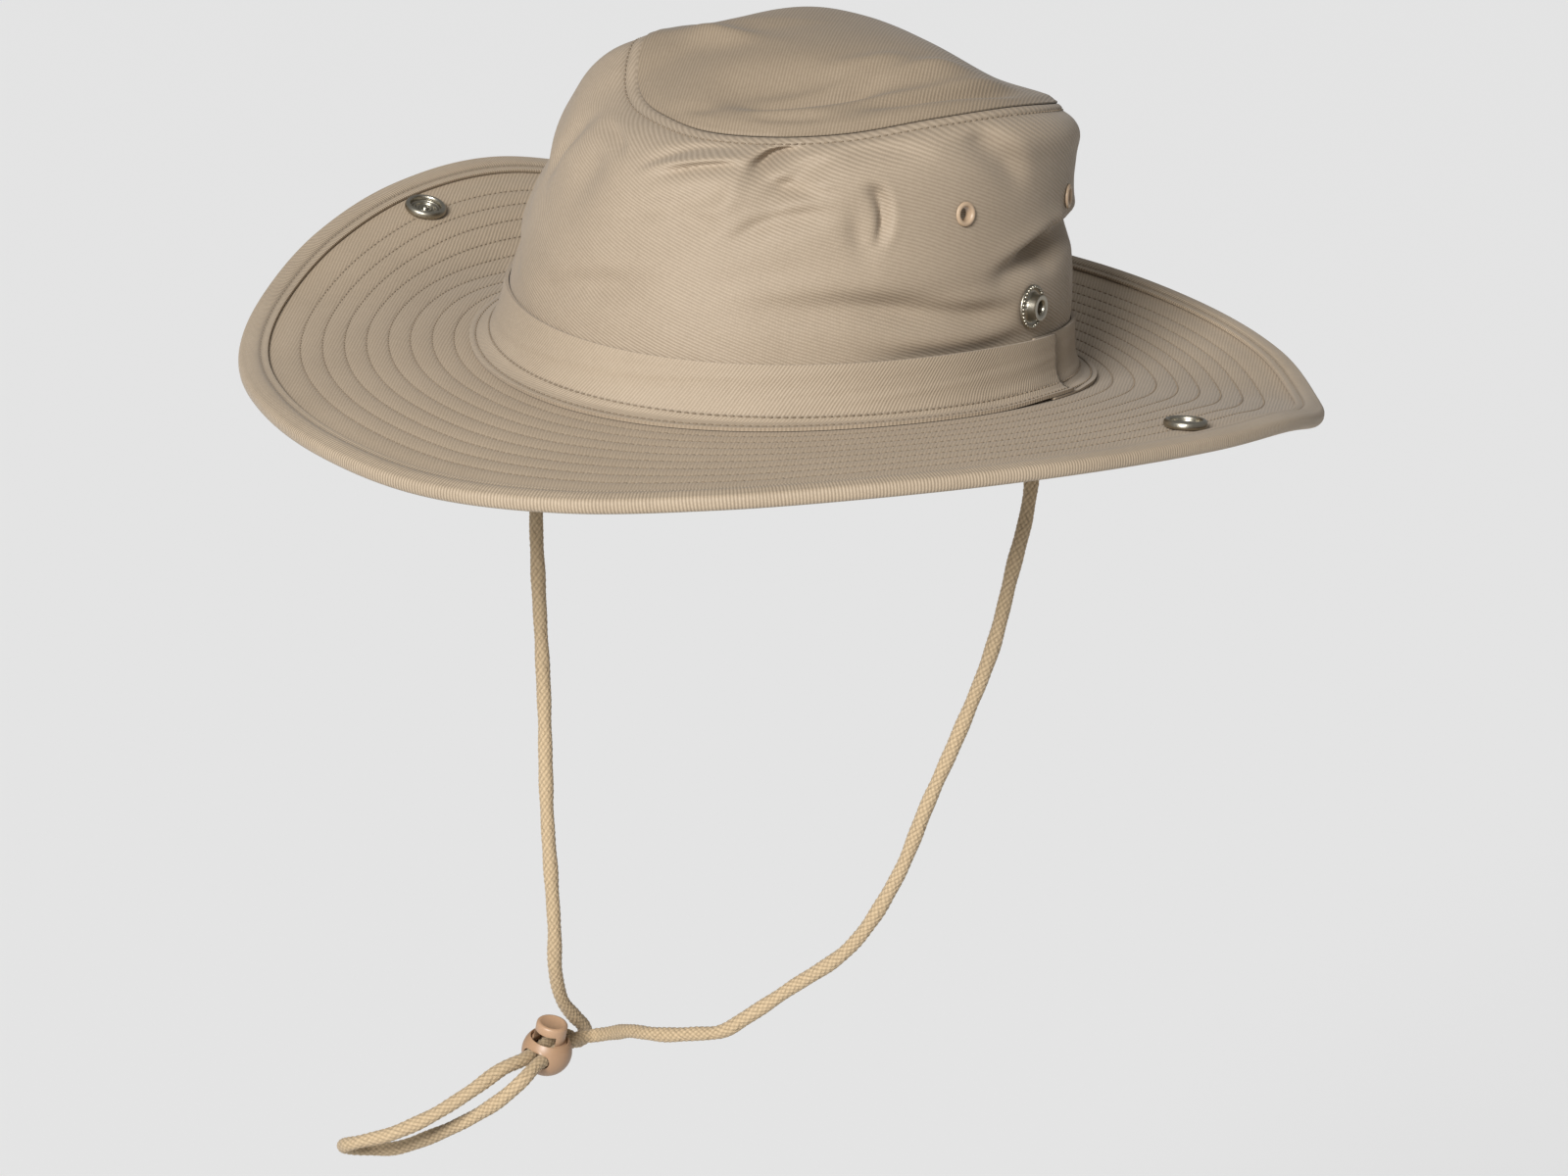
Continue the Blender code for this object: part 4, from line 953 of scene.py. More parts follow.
def make_brim():
    half = BRIM_THICKNESS / 2
    foot = COLLAR_THICKNESS + COLLAR_FILLET
    offsets = np.array([0.0, 0.08, 0.17, 0.30, 0.5, 0.70, 0.83, 0.92]) * ROW_PITCH
    reaches = [foot, foot + 0.002, ROW_FIRST - 0.0018, ROW_FIRST - 0.0006]
    reaches += [row + offset for row in STITCH_ROWS for offset in offsets]
    reaches = [reach for reach in reaches if reach < BRIM_BREADTH - 0.0005] + [BRIM_BREADTH]
    reaches = np.array(sorted(reaches))
    section = [("wall", half + COLLAR_FILLET, CLOTH + GAP + COLLAR_THICKNESS)]
    section = [("wall", COLLAR_HEIGHT, CLOTH + GAP + COLLAR_THICKNESS)] + section
    section += [("brim", reach, 1.0) for reach in reaches]
    section += [("brim", reach, -1.0) for reach in reaches[::-1]] + [("brim", 0.0, -1.0)]
    section += [("wall", COLLAR_HEIGHT, CLOTH + GAP)]
    section += [section[0]]
    kinds = np.array([kind == "brim" for kind, _, _ in section], float)
    firsts = np.array([first for _, first, _ in section])
    seconds = np.array([second for _, _, second in section])

    def place(u, v):
        angle = 360.0 * u
        on_brim = by_row(v, kinds) > 0.5
        first, second = by_row(v, firsts), by_row(v, seconds)
        points = np.zeros((len(u), 3))
        reach, side = first[on_brim], second[on_brim]
        thick = half + quilt(reach, angle[on_brim]) * (reach < BINDING_START)
        points[on_brim] = brim_at(angle[on_brim], reach, side * thick)
        wall = ~on_brim
        share = wall_share(angle[wall], first[wall])
        points[wall] = wall_at(angle[wall], share, second[wall], fine=False)
        # Painted shade along each ring of stitching and along the binding's edge.
        dark = np.zeros(len(u))
        for ring in STITCH_ROWS + [BINDING_START]:
            dark[on_brim] += 0.2 * dip(reach - ring, DITCH_WIDTH)
        return points, points[:, :2], dark

    piece = panel("brim_cloth", 440, len(section) - 1, place)
    return finish_piece(piece, brim_drill, "brim_cloth", "brim")


make_brim()


# %% [markdown]
# The binding is a strip cut on the bias, folded over the rim and sewn through. It is fullest near
# the fold and dips along its line of stitches, about a quarter of its width from its inner edge.

# %% Binding
BINDING_STITCH = BRIM_BREADTH - 0.0056
BINDING_DITCH = 0.00035
BINDING_SWELL = 0.00045


def make_binding():
    inner = BRIM_THICKNESS / 2 + GAP
    outer = inner + BINDING_THICKNESS
    nose = GAP + BINDING_THICKNESS
    start = BINDING_START
    profile = [(start - 0.0001, inner + 0.0002), (start, outer - 0.0002), (start + 0.0005, outer)]
    for k in range(1, 12):
        reach = start + (BRIM_BREADTH - 0.0008 - start) * k / 11
        ditch = BINDING_DITCH * dip(reach - BINDING_STITCH, DITCH_WIDTH)
        swell = BINDING_SWELL * math.sin(math.pi * (k / 11) ** 1.6)
        profile.append((reach, outer - ditch + swell * (reach > BINDING_STITCH)))
    for turn in range(75, -1, -15):
        t = math.radians(turn)
        profile.append((BRIM_BREADTH - 0.0006 + (nose + 0.0008) * math.cos(t), outer * math.sin(t) ** 0.8))
    mirror = [(reach, -side) for reach, side in profile[-2::-1]]
    rim = BRIM_BREADTH + GAP
    back = [(start, -inner), (rim, -inner * 0.98), (rim, inner * 0.98), (start, inner)]
    profile = profile + mirror + back + profile[:1]
    reaches = np.array([reach for reach, _ in profile])
    sides = np.array([side for _, side in profile])
    run = run_of(np.stack([reaches, sides], axis=-1))

    def place(u, v):
        angle = 360.0 * u
        points = brim_at(angle, by_row(v, reaches), by_row(v, sides))
        around = u * 2 * math.pi * (MEAN_RADIUS + BRIM_BREADTH)
        # Painted shade along the binding's line of stitches.
        dark = 0.8 * dip(by_row(v, reaches) - BINDING_STITCH, 0.0005)
        return points, np.stack([around, by_row(v, run)], axis=-1), dark

    piece = panel("brim_binding_cloth", 480, len(profile) - 1, place)
    return finish_piece(piece, bias_drill, "binding_cloth", "brim_binding")


make_binding()

# %% [markdown]
# The band is a strip that stands against the crown and flares out over the brim at its foot. It
# goes once round and laps over its own start on the wearer's left. Its section here is a smooth
# curve through four places, thickened by its cloth.

# %% Band
BAND_ROWS = 34
BAND_HUG = CLOTH + 0.0003
LAP_LIFT = 0.0009
UNDER_LAP = 0.5
BAND_STITCHES = (0.93, 0.70)
BAND_STEP = 0.01
BAND_DITCH = 0.00045
BAND_PUFF = 0.0003


def lap_lift(angle):
    """How far the lapped end rides over the band's start."""
    return LAP_LIFT * ease((angle - 360.0 + STATION) / (2 * STATION))


def band_profile(angle, lift, share):
    """Points of the band's inner face, share 0 at the top."""
    inside = CLOTH + GAP + COLLAR_THICKNESS + GAP + lift
    over_brim = BRIM_THICKNESS / 2 + GAP + lift
    knee = over_brim + COLLAR_FILLET
    top = wall_at(angle, wall_share(angle, BAND_HEIGHT), BAND_HUG + lift, fine=False)
    fold = wall_at(angle, wall_share(angle, BAND_BREAK + 0.0012), inside, fine=False)
    bend = wall_at(angle, wall_share(angle, knee), inside + COLLAR_FILLET + BAND_FLARE * 0.25, fine=False)
    end = brim_at(angle, COLLAR_THICKNESS + GAP + BAND_FLARE, over_brim)
    places = (0.0, 0.52, 0.78, 1.0)
    values = np.stack([top, fold, bend, end])
    s = np.clip(share, 0, 1)
    i = np.clip(np.searchsorted(places, s, side="right") - 1, 0, 2)
    p = np.asarray(places)
    t = ((s - p[i]) / (p[i + 1] - p[i]))[..., None]
    index = np.arange(len(s))
    start, finish = values[i, index], values[i + 1, index]
    before = values[np.maximum(i - 1, 0), index]
    after = values[np.minimum(i + 2, 3), index]
    width = (p[i + 1] - p[i])[..., None]
    slope_a = (finish - before) / (p[i + 1] - p[np.maximum(i - 1, 0)])[..., None] * width
    slope_b = (after - start) / (p[np.minimum(i + 2, 3)] - p[i])[..., None] * width
    return blend(start, finish, slope_a, slope_b, t)


def band_face(angle, lift, share):
    """Points of the band's inner face and the directions outward from it."""
    points = band_profile(angle, lift, share)
    below = band_profile(angle, lift, share + BAND_STEP * (share < 0.5))
    above = band_profile(angle, lift, share - BAND_STEP * (share >= 0.5))
    around = band_profile(angle + 0.5, lift, share) - band_profile(angle - 0.5, lift, share)
    return points, unit(np.cross(below - above, around))


def make_band():
    start, end = STATION, 360.0 + 2 * STATION
    shares = np.linspace(0, 1, BAND_ROWS)
    rows = np.concatenate([shares, shares[::-1], shares[:1]])
    sides = np.concatenate([np.ones(BAND_ROWS), np.zeros(BAND_ROWS), [1.0]])

    def place(u, v):
        angle = start + (end - start) * u
        lap = lap_lift(angle)
        share, side = by_row(v, rows), by_row(v, sides)
        points, normal = band_face(angle, lap, share)
        hem, upper = (dip(share - line, 0.018) for line in BAND_STITCHES)
        stitch = hem + 0.8 * upper
        pucker = 0.5 + 0.5 * np.sin(np.radians(angle) * 180)
        puff = BAND_PUFF * np.sin(math.pi * share) * weave_noise(angle, share, 2.0)
        thin = UNDER_LAP + (1 - UNDER_LAP) * ease((angle - 2 * STATION) / STATION - 0.2)
        thick = (BAND_THICKNESS - BAND_DITCH * stitch * (0.7 + 0.3 * pucker) + puff) * thin
        points = points + normal * (side * thick)[:, None]
        cloth = np.stack([np.radians(angle) * MEAN_RADIUS, -share * 0.028], axis=-1)
        # The last value is painted shade along the band's two rows of stitches.
        return points, cloth, 0.6 * stitch * side

    piece = panel("hat_band_cloth", 460, len(rows) - 1, place)
    close_ends(piece)
    return finish_piece(piece, band_drill, "band_cloth", "hat_band")


make_band()

# %% [markdown]
# Every visible row of stitching is made of real threads: one short, pointed bead is modelled, then
# copied along each row at the stitch length, turned to follow the row and the cloth. A bead has
# sixteen triangles, so that thousands of them stay light.

# %% Stitches
STITCH_PITCH = 0.0024
STITCH_LENGTH = 0.0018
STITCH_RADIUS = 0.00030


def stitch_bead():
    """One stitch along X as points and faces: two pointed ends and a square middle."""
    points = [(-0.5, 0, -0.25), (0.5, 0, -0.25)]
    for x in (-0.28, 0.28):
        points += [(x, math.cos(t), 0.35 + math.sin(t)) for t in np.radians([0, 90, 180, 270])]
    faces = []
    for k in range(4):
        n = (k + 1) % 4
        faces += [(0, 2 + n, 2 + k), (1, 6 + k, 6 + n), (2 + k, 2 + n, 6 + n, 6 + k)]
    scale = np.array([STITCH_LENGTH, STITCH_RADIUS, STITCH_RADIUS])
    return np.array(points) * scale, faces


def spaced(points, pitch):
    """Middles and directions of stitches a pitch apart along a line of points."""
    run = run_of(points)
    wanted = np.arange(pitch / 2, run[-1], pitch)
    ahead = read_along(wanted + pitch / 4, run, points)
    behind = read_along(wanted - pitch / 4, run, points)
    return read_along(wanted, run, points), unit(ahead - behind), wanted / run[-1]


def stitching(name, lines, slot):
    """Stitches along (points, normals) lines as one piece."""
    bead, faces = stitch_bead()
    clouds = []
    for points, normals in lines:
        middle, along, share = spaced(points, STITCH_PITCH)
        places = np.linspace(0, 1, len(normals))
        up = unit(read_along(share, places, normals))
        side = unit(np.cross(up, along))
        frame_rows = np.stack([along, side, np.cross(along, side)], axis=1)
        clouds.append(middle[:, None, :] + np.einsum("pk,nkc->npc", bead, frame_rows))
    cloud = np.concatenate(clouds)
    all_faces = []
    for shift in range(0, len(cloud) * len(bead), len(bead)):
        all_faces += [tuple(corner + shift for corner in face) for face in faces]
    mesh = bpy.data.meshes.new(name)
    mesh.from_pydata(cloud.reshape(-1, 3).tolist(), [], all_faces)
    piece = link_new(name, mesh)
    choose(piece)
    bpy.ops.object.shade_smooth()
    return finish_piece(piece, thread_cotton, slot)


AROUND = np.arange(0.0, 360.5, 0.5)


BRIM_FACE = BRIM_THICKNESS / 2 - 0.00022
BINDING_FACE = BRIM_THICKNESS / 2 + GAP + BINDING_THICKNESS - 0.0003


def brim_line(reach, side, height):
    """A row round the brim, height metres above or below its middle."""
    reach = np.full_like(AROUND, reach)
    return brim_at(AROUND, reach, side * height), brim_normal(AROUND, reach) * side


for name, side in (("brim_stitches_top", 1), ("brim_stitches_under", -1)):
    stitching(name, [brim_line(row, side, BRIM_FACE) for row in STITCH_ROWS], "brim_cloth")
folded = [brim_line(BINDING_STITCH, side, BINDING_FACE) for side in (1, -1)]
stitching("binding_stitches", folded, "binding_cloth")


def band_line(share):
    angle = np.arange(STATION + 0.6, 360.0 + 2 * STATION - 0.6, 0.5)
    lap = lap_lift(angle)
    points, normal = band_face(angle, lap, np.full_like(angle, share))
    return points + normal * (BAND_THICKNESS - 0.00020), normal


stitching("band_stitches", [band_line(share) for share in BAND_STITCHES], "band_cloth")


def wall_line(down, lift):
    up = np.full_like(AROUND, 1.0 - down / CROWN_HEIGHT)
    return wall_at(AROUND, up, CLOTH + lift), wall_normal(AROUND, up, 1.0)


stitching("crown_stitches", [wall_line(TOPSTITCH_DOWN, -0.0004)], "crown_cloth")

# %% [markdown]
# Eyelets, studs and snap sockets are pressed from sheet metal, so each is a turned shape. A ring is
# added at the first radius, then its edge is extruded and resized again and again, up and down the
# profile, as one would by hand. Rings that meet in a point, or on the first ring, are merged.


# %% Turned metal
def turned(name, profile, sides=48):
    """A turned shape about Z from (radius, height) pairs in millimetres."""
    deselect()
    r0, z0 = profile[0]
    bpy.ops.mesh.primitive_circle_add(
        vertices=sides, radius=max(r0, 0.001) / 1000, location=(0, 0, z0 / 1000)
    )
    piece = bpy.context.object
    bpy.ops.object.transform_apply(location=True)
    piece.name = piece.data.name = name
    edit_all()
    radius, height = max(r0, 0.001), z0
    for r, z in profile[1:]:
        r = max(r, 0.001)
        bpy.ops.mesh.extrude_region_move(TRANSFORM_OT_translate={"value": (0, 0, (z - height) / 1000)})
        bpy.ops.transform.resize(
            value=(r / radius, r / radius, 1), center_override=(0, 0, z / 1000)
        )
        radius, height = r, z
    bpy.ops.mesh.select_all(action="SELECT")
    bpy.ops.mesh.remove_doubles(threshold=3e-6)
    bpy.ops.mesh.normals_make_consistent(inside=False)
    bpy.ops.object.mode_set(mode="OBJECT")
    bpy.ops.object.shade_smooth_by_angle(angle=math.radians(40))
    return piece


def rounded(points, steps=3):
    """Soften the corners of a profile with a short curve at each."""
    points = [np.array(p, float) for p in points]
    out = [points[0]]
    for a, b, c in zip(points, points[1:], points[2:]):
        cut = min(np.linalg.norm(b - a), np.linalg.norm(c - b)) * 0.38
        start = b + (a - b) / np.linalg.norm(a - b) * cut
        end = b + (c - b) / np.linalg.norm(c - b) * cut
        for k in range(steps + 1):
            t = k / steps
            out.append(start * (1 - t) ** 2 + b * 2 * t * (1 - t) + end * t * t)
    return [tuple(p) for p in out + [points[-1]]]


def seat(piece, point, normal):
    """Move a turned piece's mesh onto a face, its axis along the normal."""
    turn = Vector((0, 0, 1)).rotation_difference(Vector(normal)).to_matrix().to_4x4()
    piece.data.transform(Matrix.Translation(Vector(point)) @ turn)
    piece.data.update()


def wall_seat(angle, up):
    """A point of the crown's outer face, creases left out, and the outward direction there."""
    point = wall_at(angle, up, CLOTH, fine=False)
    return np.ravel(point), np.ravel(wall_normal(angle, up, 2.0, fine=False))


EYELET_PROFILE = rounded([
    (2.2, -1.9), (3.7, -1.9), (3.7, -1.6), (2.6, -1.6), (2.6, 0.3), (4.0, 0.3), (3.9, 0.8),
    (3.3, 1.15), (2.7, 1.05), (2.25, 0.5), (2.2, -1.9),
])
STUD_PROFILE = rounded([
    (0, -3.2), (4.0, -3.2), (6.2, -2.6), (6.2, -2.1), (2.0, -2.1), (2.0, 0.4), (7.2, 0.4),
    (7.2, 0.9), (6.9, 1.2), (5.9, 1.2), (5.3, 0.8), (4.7, 0.9), (4.3, 1.5), (4.05, 3.9),
    (4.2, 4.4), (3.6, 4.4), (2.5, 4.3), (2.1, 3.6), (2.1, 1.6), (0, 1.5),
])
SOCKET_PROFILE = rounded([
    (0, -4.2), (4.0, -4.2), (6.2, -3.6), (6.2, -3.1), (2.0, -3.1), (2.0, 0.4), (6.6, 0.4),
    (7.1, 1.2), (6.9, 2.4), (6.3, 3.0), (5.6, 3.0), (5.2, 2.4), (5.1, 1.3), (4.6, 1.0),
    (4.3, 1.5), (3.8, 1.7), (3.4, 1.4), (3.2, 0.8), (2.4, 0.7), (2.1, 1.2), (1.7, 1.3),
    (1.3, 0.8), (1.0, 1.5), (0.6, 1.9), (0, 1.9),
])

# %% [markdown]
# The stud's flange carries a ring of fine beads. One bead is a small ball, copied round the flange
# and joined to the stud, so the light breaks on it as on the real pressed edge.


# %% Studs, sockets and eyelets
STUD_BEADS = (6.5, 0.64, 1.35, 30)
EYELET_HOLE = [(0, -9.0), (2.6, -9.0), (2.6, 6.0), (0, 6.0)]


def cut_away(piece, cutter):
    """Cut one mesh out of a piece with an exact Boolean."""
    choose(piece)
    boolean = piece.modifiers.new("cut", "BOOLEAN")
    boolean.operation = "DIFFERENCE"
    boolean.solver = "EXACT"
    boolean.object = cutter
    bpy.ops.object.modifier_apply(modifier=boolean.name)
    bpy.data.objects.remove(cutter)


def add_beads(piece, ring, size, height, count):
    """A ring of small balls joined to a turned piece, its measures in millimetres."""
    beads = []
    for k in range(count):
        deselect()
        turn = 2 * math.pi * k / count
        place = (ring * math.cos(turn) / 1000, ring * math.sin(turn) / 1000, height / 1000)
        bpy.ops.mesh.primitive_ico_sphere_add(subdivisions=2, radius=size / 1000, location=place)
        beads.append(bpy.context.object)
    choose(piece)
    for bead in beads:
        bead.select_set(True)
    bpy.ops.object.join()
    bpy.ops.object.transform_apply(location=True, rotation=True, scale=True)
    bpy.ops.object.shade_smooth_by_angle(angle=math.radians(40))


def add_eyelet(node, angle):
    point, normal = wall_seat(angle, EYELET_UP)
    punch = turned(node + "_punch", EYELET_HOLE, sides=32)
    seat(punch, point, normal)
    cut_away(crown_side, punch)
    piece = turned(node + "_ring", EYELET_PROFILE)
    seat(piece, point, normal)
    finish_piece(piece, beige_paint, "painted_brass", node)


def add_stud(node, angle):
    piece = turned(node + "_metal", STUD_PROFILE)
    add_beads(piece, *STUD_BEADS)
    seat(piece, *wall_seat(angle, STUD_UP))
    finish_piece(piece, old_nickel, "aged_nickel", node)


def add_socket(node, angle):
    piece = turned(node + "_metal", SOCKET_PROFILE)
    reach = BINDING_START - SOCKET_TO_BINDING - SOCKET_DIAMETER / 2
    at, out = np.array([angle]), np.array([reach])
    seat(piece, brim_at(at, out, np.array([BRIM_THICKNESS / 2]))[0], brim_normal(at, out)[0])
    finish_piece(piece, old_nickel, "aged_nickel", node)


for hand, middle, toward in (("left", EYELET_MIDDLE, -1), ("right", 180.0 - EYELET_MIDDLE, 1)):
    add_eyelet("eyelet_front_" + hand, middle + toward * EYELET_SPREAD)
    add_eyelet("eyelet_back_" + hand, middle - toward * EYELET_SPREAD)
add_stud("crown_stud_left", STUD_ANGLE)
add_stud("crown_stud_right", 180.0 - STUD_ANGLE)
add_socket("brim_socket_left", SOCKET_ANGLE)
add_socket("brim_socket_right", 180.0 + SOCKET_ANGLE)

# %% [markdown]
# The chin cord is one braid of cotton, nearly five millimetres thick, that runs from the right side
# down through the stopper, round in a free loop, back through the stopper and up to the left side.
# Its route is a smooth curve through places that were read from the photograph.

# %% Cord route
CORD_DIAMETER = 0.0048
CORD_CLEARANCE = 0.0003
TAB_SEAT = 0.0007
TAB_WALL = 0.0012
TAB_HEIGHT = 0.0130
TAB_DEPTH = 0.0085
TAB_RIGHT_ANGLE = 185.5
TAB_LEFT_ANGLE = 9.0
STRAIGHT_RUN = 0.0110
STOPPER_PLACE = Vector((-0.0620, -0.0066, -0.2566))
STOPPER_TURN = Euler((math.radians(8.5), math.radians(10.2), math.radians(8.7)), "XYZ")
CORD_DOWN = (
    (-0.0826, -0.0100, -0.0150), (-0.0862, -0.0106, -0.0340), (-0.0877, -0.0109, -0.0530),
    (-0.0866, -0.0108, -0.0722), (-0.0836, -0.0103, -0.0927), (-0.0769, -0.0091, -0.1334),
    (-0.0713, -0.0082, -0.1729), (-0.0680, -0.0062, -0.1967), (-0.0660, -0.0040, -0.2153),
    (-0.0669, 0.0000, -0.2305), (-0.0677, 0.0070, -0.2430), (-0.0674, 0.0145, -0.2502),
    (-0.0674, 0.0205, -0.2552), (-0.0682, 0.0225, -0.2592), (-0.0683, 0.0190, -0.2604),
    (-0.0672, 0.0125, -0.2570),
)
CORD_TAIL = (
    (-0.0655, -0.0255, -0.2600), (-0.0705, -0.0355, -0.2675), (-0.0785, -0.0450, -0.2765),
    (-0.0890, -0.0525, -0.2845), (-0.0990, -0.0560, -0.2895), (-0.1068, -0.0545, -0.2935),
    (-0.1112, -0.0480, -0.2970), (-0.1082, -0.0408, -0.2984), (-0.1000, -0.0365, -0.2968),
    (-0.0875, -0.0325, -0.2895), (-0.0745, -0.0295, -0.2800), (-0.0640, -0.0275, -0.2705),
    (-0.0580, -0.0240, -0.2625),
)
CORD_UP = (
    (-0.0614, 0.0112, -0.2553), (-0.0588, 0.0155, -0.2548), (-0.0508, 0.0140, -0.2513),
    (-0.0380, 0.0072, -0.2454), (-0.0281, 0.0032, -0.2424), (-0.0208, 0.0020, -0.2406),
    (-0.0068, 0.0012, -0.2360), (0.0043, 0.0014, -0.2318), (0.0115, 0.0032, -0.2255),
    (0.0246, 0.0082, -0.2124), (0.0446, 0.0116, -0.1926), (0.0581, 0.0139, -0.1654),
    (0.0660, 0.0153, -0.1374), (0.0742, 0.0167, -0.1106), (0.0818, 0.0180, -0.0817),
    (0.0858, 0.0186, -0.0525), (0.0882, 0.0191, -0.0330), (0.0876, 0.0189, -0.0180),
)


def tab_axis(angle):
    """Where the cord's end stands in a tab, and the outward direction there."""
    share = wall_share(angle, TAB_DEPTH / 2)
    wall = np.ravel(wall_at(angle, share, 0.0, fine=False))
    _, _, nx, ny = oval(HEAD_HALF_WIDTH, HEAD_HALF_LENGTH, angle, 0.0)
    inward = TAB_SEAT + TAB_WALL + CORD_CLEARANCE + CORD_DIAMETER / 2
    place = Vector((wall[0] - nx * inward, wall[1] - ny * inward, float(opening_lift(angle))))
    return place, Vector((nx, ny, 0.0))


def in_tab(angle, rise):
    return tab_axis(angle)[0] + Vector((0, 0, rise))


STOPPER = Matrix.Translation(STOPPER_PLACE) @ STOPPER_TURN.to_matrix().to_4x4()
STRAND_SHIFT = CORD_DIAMETER / 2 + CORD_CLEARANCE / 2


def strand_points(side):
    """The straight run of one strand through the stopper."""
    runs = (STRAIGHT_RUN, STRAIGHT_RUN / 3, -STRAIGHT_RUN / 3, -STRAIGHT_RUN)
    return [STOPPER @ Vector((side * STRAND_SHIFT, y, 0.0)) for y in runs]


def smooth_curve(points, steps=14):
    """Points along a centripetal spline through the route's points."""
    ends = [points[0] * 2 - points[1]] + points + [points[-1] * 2 - points[-2]]
    curve = []
    for i in range(1, len(ends) - 2):
        p = ends[i - 1 : i + 3]
        t = [0.0]
        for a, b in zip(p, p[1:]):
            t.append(t[-1] + math.sqrt((b - a).length))
        for u in np.linspace(t[1], t[2], steps, endpoint=False):
            first = [p[k].lerp(p[k + 1], (u - t[k]) / (t[k + 1] - t[k])) for k in range(3)]
            second = [first[k].lerp(first[k + 1], (u - t[k]) / (t[k + 2] - t[k])) for k in range(2)]
            curve.append(second[0].lerp(second[1], (u - t[1]) / (t[2] - t[1])))
    return curve + [points[-1]]


def cord_path():
    down = [in_tab(TAB_RIGHT_ANGLE, -TAB_WALL)] + [Vector(p) for p in CORD_DOWN]
    up = [Vector(p) for p in CORD_UP] + [in_tab(TAB_LEFT_ANGLE, -TAB_WALL)]
    tail = [Vector(p) for p in CORD_TAIL]
    route = down + strand_points(-1) + tail + strand_points(1)[::-1] + up
    curve = smooth_curve(route)
    curve = [in_tab(TAB_RIGHT_ANGLE, TAB_DEPTH)] + curve + [in_tab(TAB_LEFT_ANGLE, TAB_DEPTH)]
    points = np.array([tuple(p) for p in curve])
    return points, run_of(points)


CORD_POINTS, CORD_RUN = cord_path()
print("cord length:", round(float(CORD_RUN[-1]), 3), "m")

# %% [markdown]
# A round tube follows the route, and its radius rises and falls in two crossing spirals of eight
# strands each, which gives the plaited surface. Shade is painted into the hollows between strands.

# %% Braided cord
BRAID_SIDES = 36
BRAID_STEP = 0.00055
BRAID_DEPTH = 0.00050
BRAID_TURN = 1300.0


def carried_frames(points):
    """Directions along the cord, and a side direction carried along without twisting."""
    along = unit(np.gradient(points, axis=0))
    sides = np.zeros_like(along)
    side = Vector(along[0]).orthogonal().normalized()
    for k, way in enumerate(along):
        way = Vector(way)
        side = (side - way * side.dot(way)).normalized()
        sides[k] = side
    return along, sides


def make_cord():
    count = int(CORD_RUN[-1] / BRAID_STEP)
    wanted = np.linspace(0, CORD_RUN[-1], count + 1)
    points = read_along(wanted, CORD_RUN, CORD_POINTS)
    along, sides = carried_frames(points)
    third = np.cross(along, sides)

    def place(u, v):
        ring = np.rint(u * count).astype(int)
        turn = 2 * math.pi * v
        a = 4 * turn + BRAID_TURN * wanted[ring]
        b = 4 * turn - BRAID_TURN * wanted[ring]
        first_over = (np.floor(a / math.pi) + np.floor(b / math.pi)) % 2 < 1
        across = np.abs(np.sin(np.where(first_over, a, b)))
        along_strand = np.abs(np.sin(np.where(first_over, b, a)))
        height = across**0.6 * (0.55 + 0.45 * along_strand)
        slack = 0.00010 * np.sin(wanted[ring] * 190)
        slack = slack + 0.00008 * np.sin(wanted[ring] * 430 + 2 * turn)
        radius = CORD_DIAMETER / 2 + 0.0001 + slack - BRAID_DEPTH * (1 - height)
        way = sides[ring] * np.cos(turn)[:, None] + third[ring] * np.sin(turn)[:, None]
        cloth = np.stack([wanted[ring], v * math.pi * CORD_DIAMETER], axis=-1)
        # The last value is painted shade, darkest in the hollows between strands.
        return points[ring] + way * radius[:, None], cloth, 1.25 * (1 - height)

    piece = panel("chin_cord_braid", count, BRAID_SIDES, place)
    close_ends(piece)
    return finish_piece(piece, braid_cotton, "cord_cotton", "chin_cord")


cord = make_cord()

# %% [markdown]
# The stopper is a moulded ball, bored from the top for a push button and slotted across, so that
# the cord runs through ball and button. The ball's profile is turned like the metal, and the slot
# is cut out of ball and button with an exact Boolean, whose edges are then softened by a bevel.

# %% Stopper
BALL_DIAMETER = 0.0173
BALL_LIP = 0.0054
BORE_DIAMETER = 0.0128
BORE_FLOOR = 0.0060
PLUNGER_TOP = 0.0116
PLUNGER_FOOT = 0.0036
PLUNGER_TRAVEL = 0.0020
CAP_INSET = 0.0007
WINDOW_MIDDLE = 0.0054
WINDOW_SIZE = (0.0084, 0.0300, 0.0060)


def slot_cutter(stretch):
    """A long rounded bar that both strands fit."""
    radius = CORD_DIAMETER / 2 + CORD_CLEARANCE
    outline = []
    for degrees in range(-90, 91, 15):
        turn = math.radians(degrees)
        high = stretch if turn > 0 else 0.0
        outline.append((STRAND_SHIFT + radius * math.cos(turn), high + radius * math.sin(turn)))
    outline += [(-x, z) for x, z in outline[::-1]]
    deselect()
    bpy.ops.mesh.primitive_circle_add(vertices=len(outline), fill_type="NGON", radius=0.01)
    cutter = bpy.context.object
    for vertex, (x, z) in zip(cutter.data.vertices, outline):
        vertex.co = (x, -BALL_DIAMETER, z)
    edit_all()
    bpy.ops.mesh.extrude_region_move(TRANSFORM_OT_translate={"value": (0, 2 * BALL_DIAMETER, 0)})
    bpy.ops.mesh.select_all(action="SELECT")
    bpy.ops.mesh.normals_make_consistent(inside=False)
    bpy.ops.object.mode_set(mode="OBJECT")
    return cutter


def cut_slot(piece, stretch):
    cut_away(piece, slot_cutter(stretch))
    bevel = piece.modifiers.new("edge", "BEVEL")
    bevel.width = 0.00025
    bevel.segments = 2
    bevel.angle_limit = math.radians(50)
    bpy.ops.object.modifier_apply(modifier=bevel.name)
    bpy.ops.object.shade_smooth_by_angle(angle=math.radians(35))
    piece.data.transform(STOPPER)
    piece.data.update()


